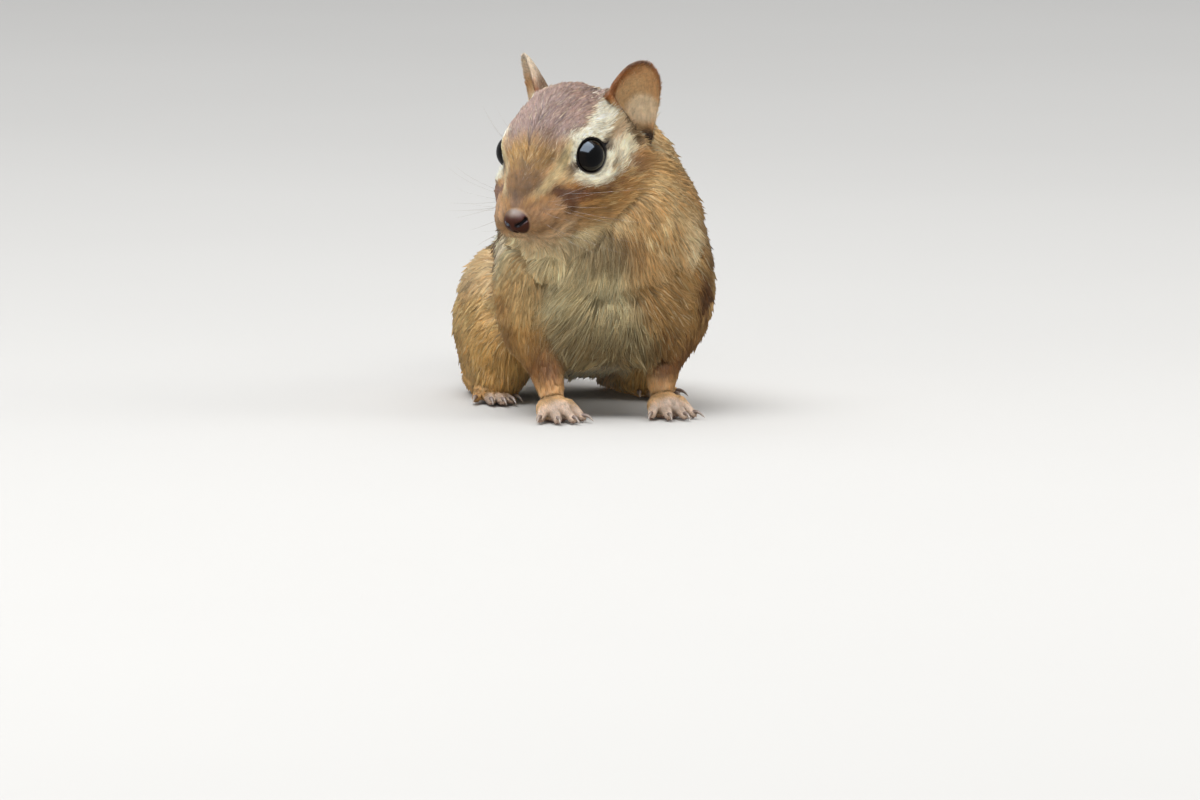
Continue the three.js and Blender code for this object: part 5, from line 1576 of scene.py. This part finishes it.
# a tuft that bends the other way has its faces turned outwards too, and its light agrees with its faces
turned = ((tv4[:, 1] - tv4[:, 0]) * np.cross(tv4[:, 2] - tv4[:, 0], tv4[:, 3] - tv4[:, 0])).sum(1) < 0
tv4[turned] = tv4[turned][:, [0, 2, 1, 3]]
tn4[turned] = tn4[turned][:, [0, 2, 1, 3]]
over = np.where(turned[:, None], unit(np.cross(tv4[:, 1] - tv4[:, 0], tv4[:, 3] - tv4[:, 0])) + unit(np.cross(tv4[:, 3] - tv4[:, 0], tv4[:, 2] - tv4[:, 0])),
                unit(np.cross(tv4[:, 2] - tv4[:, 0], tv4[:, 1] - tv4[:, 0])) + unit(np.cross(tv4[:, 2] - tv4[:, 1], tv4[:, 3] - tv4[:, 1])))
over = over / np.maximum(np.linalg.norm(over, axis=1), 1e-6)[:, None]
over = np.where(((over * n_root).sum(1) > -0.3)[:, None], over, n_root)[:, None]
tn4 = tn4 + over * np.maximum(0.0, 0.3 - (tn4 * over).sum(2))[:, :, None]
tn4 = tn4 / np.maximum(np.linalg.norm(tn4, axis=2), 1e-6)[:, :, None]
say(f"{turned.mean():.3f} of the tufts bend the other way")
# each tuft's patch on the unwrap
PATCH = np.array([[-0.0014, 0.0], [0.0001, 0.0012], [0.0, -0.0012], [0.0015, 0.0001]])
FACE_UV = PATCH[PATTERN]
say("tufts laid")

REGION = np.zeros(K, int)
names = ["coat_trunk", "coat_head", "coat_neck", "coat_legs", "coat_feet", "coat_tail", "coat_ears"]
top = RW.argmax(1)
REGION[(top == SKULL) | (top == NOSE)] = 1
REGION[top == NECK] = 2
REGION[(top == ARM) | (top == FOREARM) | (top == THIGH)] = 3
REGION[(top == FOREFOOT) | (top == HINDFOOT)] = 4
REGION[top == TAIL] = 5
REGION[ear_like] = 6
MOST = 47000
FURS = {}
for i, nm_ in enumerate(names):
    who = np.flatnonzero(REGION == i)
    if not len(who):
        continue
    k = int(math.ceil(len(who) / MOST))
    key = root[who, 1] if i in (0, 3, 5) else root[who, 0]
    order = who[np.argsort(key, kind="stable")]
    for j, part in enumerate(np.array_split(order, k)):
        name = nm_ if k == 1 else f"{nm_}_{j + 1}"
        f = (np.arange(len(part))[:, None, None] * 4 + PATTERN).reshape(-1, 3)
        ob = build(name, tv4[part].reshape(-1, 3), f)
        paint(ob, "Col", tc4[part].reshape(-1, 3))
        uv = ruv[part]
        lo_, hi_ = uv.min(0), uv.max(0)
        uv = 0.004 + (uv - lo_) / np.maximum(hi_ - lo_, 1e-6) * 0.992
        loops = np.clip(uv[:, None, None] + FACE_UV[None], 0.0, 1.0)
        layer = ob.data.uv_layers.new(name="OFBake")
        layer.data.foreach_set("uv", loops.astype(np.float32).ravel())
        ob.data.normals_split_custom_set_from_vertices(tn4[part].reshape(-1, 3))
        key_m = "tail" if i == 5 else "face" if i in (1, 6) else "body"
        if key_m not in FURS:
            FURS[key_m] = fur_material(f"fur_{key_m}", {"tail": 0.55, "face": 0.66, "body": 0.60}[key_m], {"tail": 0.06, "face": 0.04, "body": 0.05}[key_m])
        ob.data.materials.append(FURS[key_m])
        print(name, len(part), len(f))
say("coat built")

# ---------------------------------------------------------------------- eyes
for s, S_ in ((1, "L"), (-1, "R")):
    o = EYE_AXIS[s]
    u = unit(UP - o * (UP @ o))
    r_ = np.cross(o, u)
    vs, fs, an = [], [], []
    NR_, NA_ = 30, 48
    for j in range(NR_ + 1):
        th = rad(112) * j / NR_
        # the cornea stands a little proud of the globe
        R = EYE_R - 0.13 + 0.13 * math.exp(-(th / rad(52)) ** 4)
        for i in range(NA_):
            ph = 2 * math.pi * i / NA_
            vs.append(EYE_AT[s] + R * (math.cos(th) * o + math.sin(th) * (math.cos(ph) * r_ + math.sin(ph) * u)))
            an.append(min(th / rad(72), 1.0))
            if j == 0:
                break
    for i in range(NA_):
        fs.append((0, 1 + i, 1 + (i + 1) % NA_))
    for j in range(1, NR_):
        a0, b0 = 1 + (j - 1) * NA_, 1 + j * NA_
        for i in range(NA_):
            i2 = (i + 1) % NA_
            fs.append((a0 + i, b0 + i, b0 + i2))
            fs.append((a0 + i, b0 + i2, a0 + i2))
    # closed behind with a low cap
    vs.append(EYE_AT[s] - o * 2.4)
    an.append(1.0)
    last = 1 + (NR_ - 1) * NA_
    for i in range(NA_):
        fs.append((last + i, len(vs) - 1, last + (i + 1) % NA_))
    fs = np.array(fs)
    vs = np.array(vs)
    vol = (vs[fs[:, 0]] - EYE_AT[s]) * np.cross(vs[fs[:, 1]] - EYE_AT[s], vs[fs[:, 2]] - EYE_AT[s])
    if vol.sum() < 0:
        fs = fs[:, ::-1]
    ob = build(f"eyeball_{S_}", vs, fs)
    number(ob, "angle", an)
    ob.data.materials.append(bpy.data.materials.get("eyeball") or eye_material())
    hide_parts(f"eye_{S_}")


# --------------------------------------------------------------------- claws
def tube(path, radii, sides):
    """A closed round tube along points, tapering."""
    path = np.array(path, float)
    d = unit(np.gradient(path, axis=0))
    ref = vec(0, 0, 1) if abs(d[0][2]) < 0.9 else vec(1, 0, 0)
    vs, fs = [], []
    for i, (p_, t_) in enumerate(zip(path, d)):
        a_ = unit(np.cross(t_, ref))
        b_ = np.cross(t_, a_)
        for k in range(sides):
            q = 2 * math.pi * k / sides
            vs.append(p_ + radii[i] * (math.cos(q) * a_ + math.sin(q) * b_))
    n = len(path)
    for i in range(n - 1):
        for k in range(sides):
            k2 = (k + 1) % sides
            A, B, C_, D_ = i * sides + k, i * sides + k2, (i + 1) * sides + k2, (i + 1) * sides + k
            fs += [(A, D_, C_), (A, C_, B)]
    vs += [path[0] - d[0] * radii[0] * 0.3, path[-1] + d[-1] * radii[-1] * 0.8]
    c0, c1 = len(vs) - 2, len(vs) - 1
    for k in range(sides):
        k2 = (k + 1) % sides
        fs += [(c0, k, k2), (c1, (n - 1) * sides + k2, (n - 1) * sides + k)]
    along = np.repeat(np.linspace(0, 1, n), sides)
    return np.array(vs), np.array(fs), np.append(along, [0, 1])


def joined(name, items, mat):
    V_, F_, A_, off = [], [], [], 0
    for v_, f_, a_ in items:
        V_.append(v_)
        F_.append(f_ + off)
        A_.append(a_)
        off += len(v_)
    V_, F_ = np.concatenate(V_), np.concatenate(F_)
    vol = (V_[F_[:, 0]] * np.cross(V_[F_[:, 1]], V_[F_[:, 2]])).sum()
    if vol < 0:
        F_ = F_[:, ::-1]
    ob = build(name, V_, F_)
    number(ob, "along", np.concatenate(A_))
    ob.data.materials.append(mat)
    return ob


claw_mat = claw_material()
for s, S_ in ((1, "L"), (-1, "R")):
    for kind, toes, length_, r0 in (("fore", [fore_toe(s, i) for i in range(4)], 2.7, 0.50), ("hind", [hind_toe(s, i) for i in range(5)], 2.9, 0.55)):
        items = []
        for A, B in toes:
            d = unit((B - A) * [1, 1, 0])
            pts, rs = [], []
            for k in range(8):
                t = k / 7
                x = 0.1 + (0.75 + length_) * t
                z = B[2] + 0.5 + 0.45 * math.sin(t * math.pi * 0.75) - 1.35 * t ** 1.8
                pts.append(vec(B[0] + d[0] * x, B[1] + d[1] * x, max(z, 0.18)))
                rs.append(r0 * (1 - t) ** 0.75 + 0.05)
            items.append(tube(pts, rs, 8))
        joined(f"claws_{kind}_{S_}", items, claw_mat)

# ------------------------------------------------------------------ whiskers
wr = np.random.default_rng(5)
wm = whisker_material()
for s, S_ in ((1, "L"), (-1, "R")):
    items = []
    for row in range(4):
        for k in range(3):
            a0 = 15.2 - 2.3 * k - 0.3 * row
            c0 = -4.4 - 1.45 * row - 0.15 * k
            start = on_head(a0, s * 5.0, c0)
            for _ in range(6):
                g = slope_S(start[None], 0.3)[0]
                start = start - g * float(sample_S(start[None])[0]) / max(g @ g, 0.3)
            L = (9 + 5.2 * k) * (0.85 + 0.3 * wr.random())
            d = dir_head((0.42 - 0.27 * k + 0.06 * wr.normal(), 0.9, 0.22 - 0.2 * row + 0.06 * wr.normal()), s)
            bend = dir_head((-1.0, 0.1, -0.25 - 0.05 * row), s)
            pts, rs = [], []
            for q in range(11):
                t = q / 10
                pts.append(start - d * 0.3 + d * L * t + bend * L * 0.34 * t * t)
                rs.append(0.021 * (1 - t) ** 0.8 + 0.006)
            items.append(tube(pts, rs, 5))
    for k in range(3):
        start = on_head(2.5 - 2.2 * k, s * 8.6, 5.5 - 0.4 * k)
        for _ in range(6):
            g = slope_S(start[None], 0.3)[0]
            start = start - g * float(sample_S(start[None])[0]) / max(g @ g, 0.3)
        d = dir_head((0.1, 0.5, 0.85), s)
        bend = dir_head((-1, 0.4, 0), s)
        L = 6.5 + 1.5 * wr.random()
        pts = [start - d * 0.3 + d * L * t + bend * L * 0.5 * t * t for t in np.linspace(0, 1, 8)]
        items.append(tube(pts, [0.014 * (1 - t) ** 0.8 + 0.0045 for t in np.linspace(0, 1, 8)], 5))
    joined(f"whiskers_{S_}", items, wm)
say("eyes, claws and whiskers built")

# -------------------------------------------------------- floor, lights, camera
N = Nodes("floor")
g = N.noise(2.5, 3, 0.5)
N.link(N.mix(N.span(g, 0.35, 0.65, 0, 1), (0.60, 0.60, 0.595), (0.612, 0.612, 0.607)), N.bsdf.inputs["Base Color"])
N.set(Roughness=0.75)
N.bsdf.inputs["Specular IOR Level"].default_value = 0.0
me = bpy.data.meshes.new("floor")
me.from_pydata([(x, y, 0.0) for x, y in ((-7, -7), (7, -7), (7, 7), (-7, 7))], [], [(0, 1, 2, 3)])
floor = bpy.data.objects.new("floor", me)
floor.data.materials.append(N.mat)
bpy.context.scene.collection.objects.link(floor)
floor.visible_glossy = False

BACK = unit(vec(-0.2908, -0.9511, 0.1045))
RIGHT = vec(0.956, -0.2924, 0)
RIGHT = unit(RIGHT - BACK * (RIGHT @ BACK))
UPV = np.cross(BACK, RIGHT)
aim = UPV * 3.636 + BACK * 12.0
DIST = 2000.0
cam = bpy.data.cameras.new("camera")
cam.sensor_width = 36
cam.lens = 36 * DIST / 272.7
cam.clip_start, cam.clip_end = 0.05, 20
cam_ob = bpy.data.objects.new("camera", cam)
bpy.context.scene.collection.objects.link(cam_ob)
place = put(aim + BACK * DIST)
from mathutils import Matrix, Vector
cam_ob.matrix_world = Matrix(((RIGHT[0], UPV[0], BACK[0], place[0]), (RIGHT[1], UPV[1], BACK[1], place[1]), (RIGHT[2], UPV[2], BACK[2], place[2]), (0, 0, 0, 1)))
bpy.context.scene.camera = cam_ob

target = put(vec(-2, 8, 42))


def area_light(name, direction, dist, size, power, colour, gloss=True, diffuse=True):
    L = bpy.data.lights.new(name, "AREA")
    L.shape = "RECTANGLE"
    L.size, L.size_y = size
    L.energy = power
    L.color = colour
    ob = bpy.data.objects.new(name, L)
    bpy.context.scene.collection.objects.link(ob)
    d = unit(vec(*direction))
    ob.location = target + d * dist
    ob.rotation_euler = Vector(-d).to_track_quat("-Z", "Y").to_euler()
    ob.visible_glossy = gloss
    ob.visible_diffuse = diffuse


area_light("key", -0.24 * RIGHT + 0.86 * UPV + 0.45 * BACK, 1.3, (1.15, 0.75), 13.2, (1.0, 0.99, 0.97), gloss=False)
area_light("catch", -0.20 * RIGHT + 0.89 * UPV + 0.41 * BACK, 1.3, (2.6, 2.0), 290.0, (0.68, 0.82, 1.0), diffuse=False)
area_light("side", 0.85 * RIGHT + 0.40 * UPV + 0.22 * BACK, 1.6, (0.9, 0.9), 6.2, (1.0, 0.97, 0.92), gloss=False)
area_light("front", -0.30 * RIGHT + 0.02 * UPV + 0.9 * BACK, 2.2, (1.6, 0.6), 8.4, (1.0, 0.985, 0.96), gloss=False)
area_light("sky", (0.0, 0.25, 1.0), 2.8, (4.5, 4.5), 58.0, (1.0, 0.99, 0.975))
world = bpy.data.worlds.new("studio")
world.use_nodes = True
world.node_tree.nodes["Background"].inputs[0].default_value = (0.97, 0.97, 0.97, 1)
world.node_tree.nodes["Background"].inputs[1].default_value = 0.42
bpy.context.scene.world = world
bpy.context.scene.view_settings.view_transform = "Standard"

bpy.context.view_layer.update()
say("done")
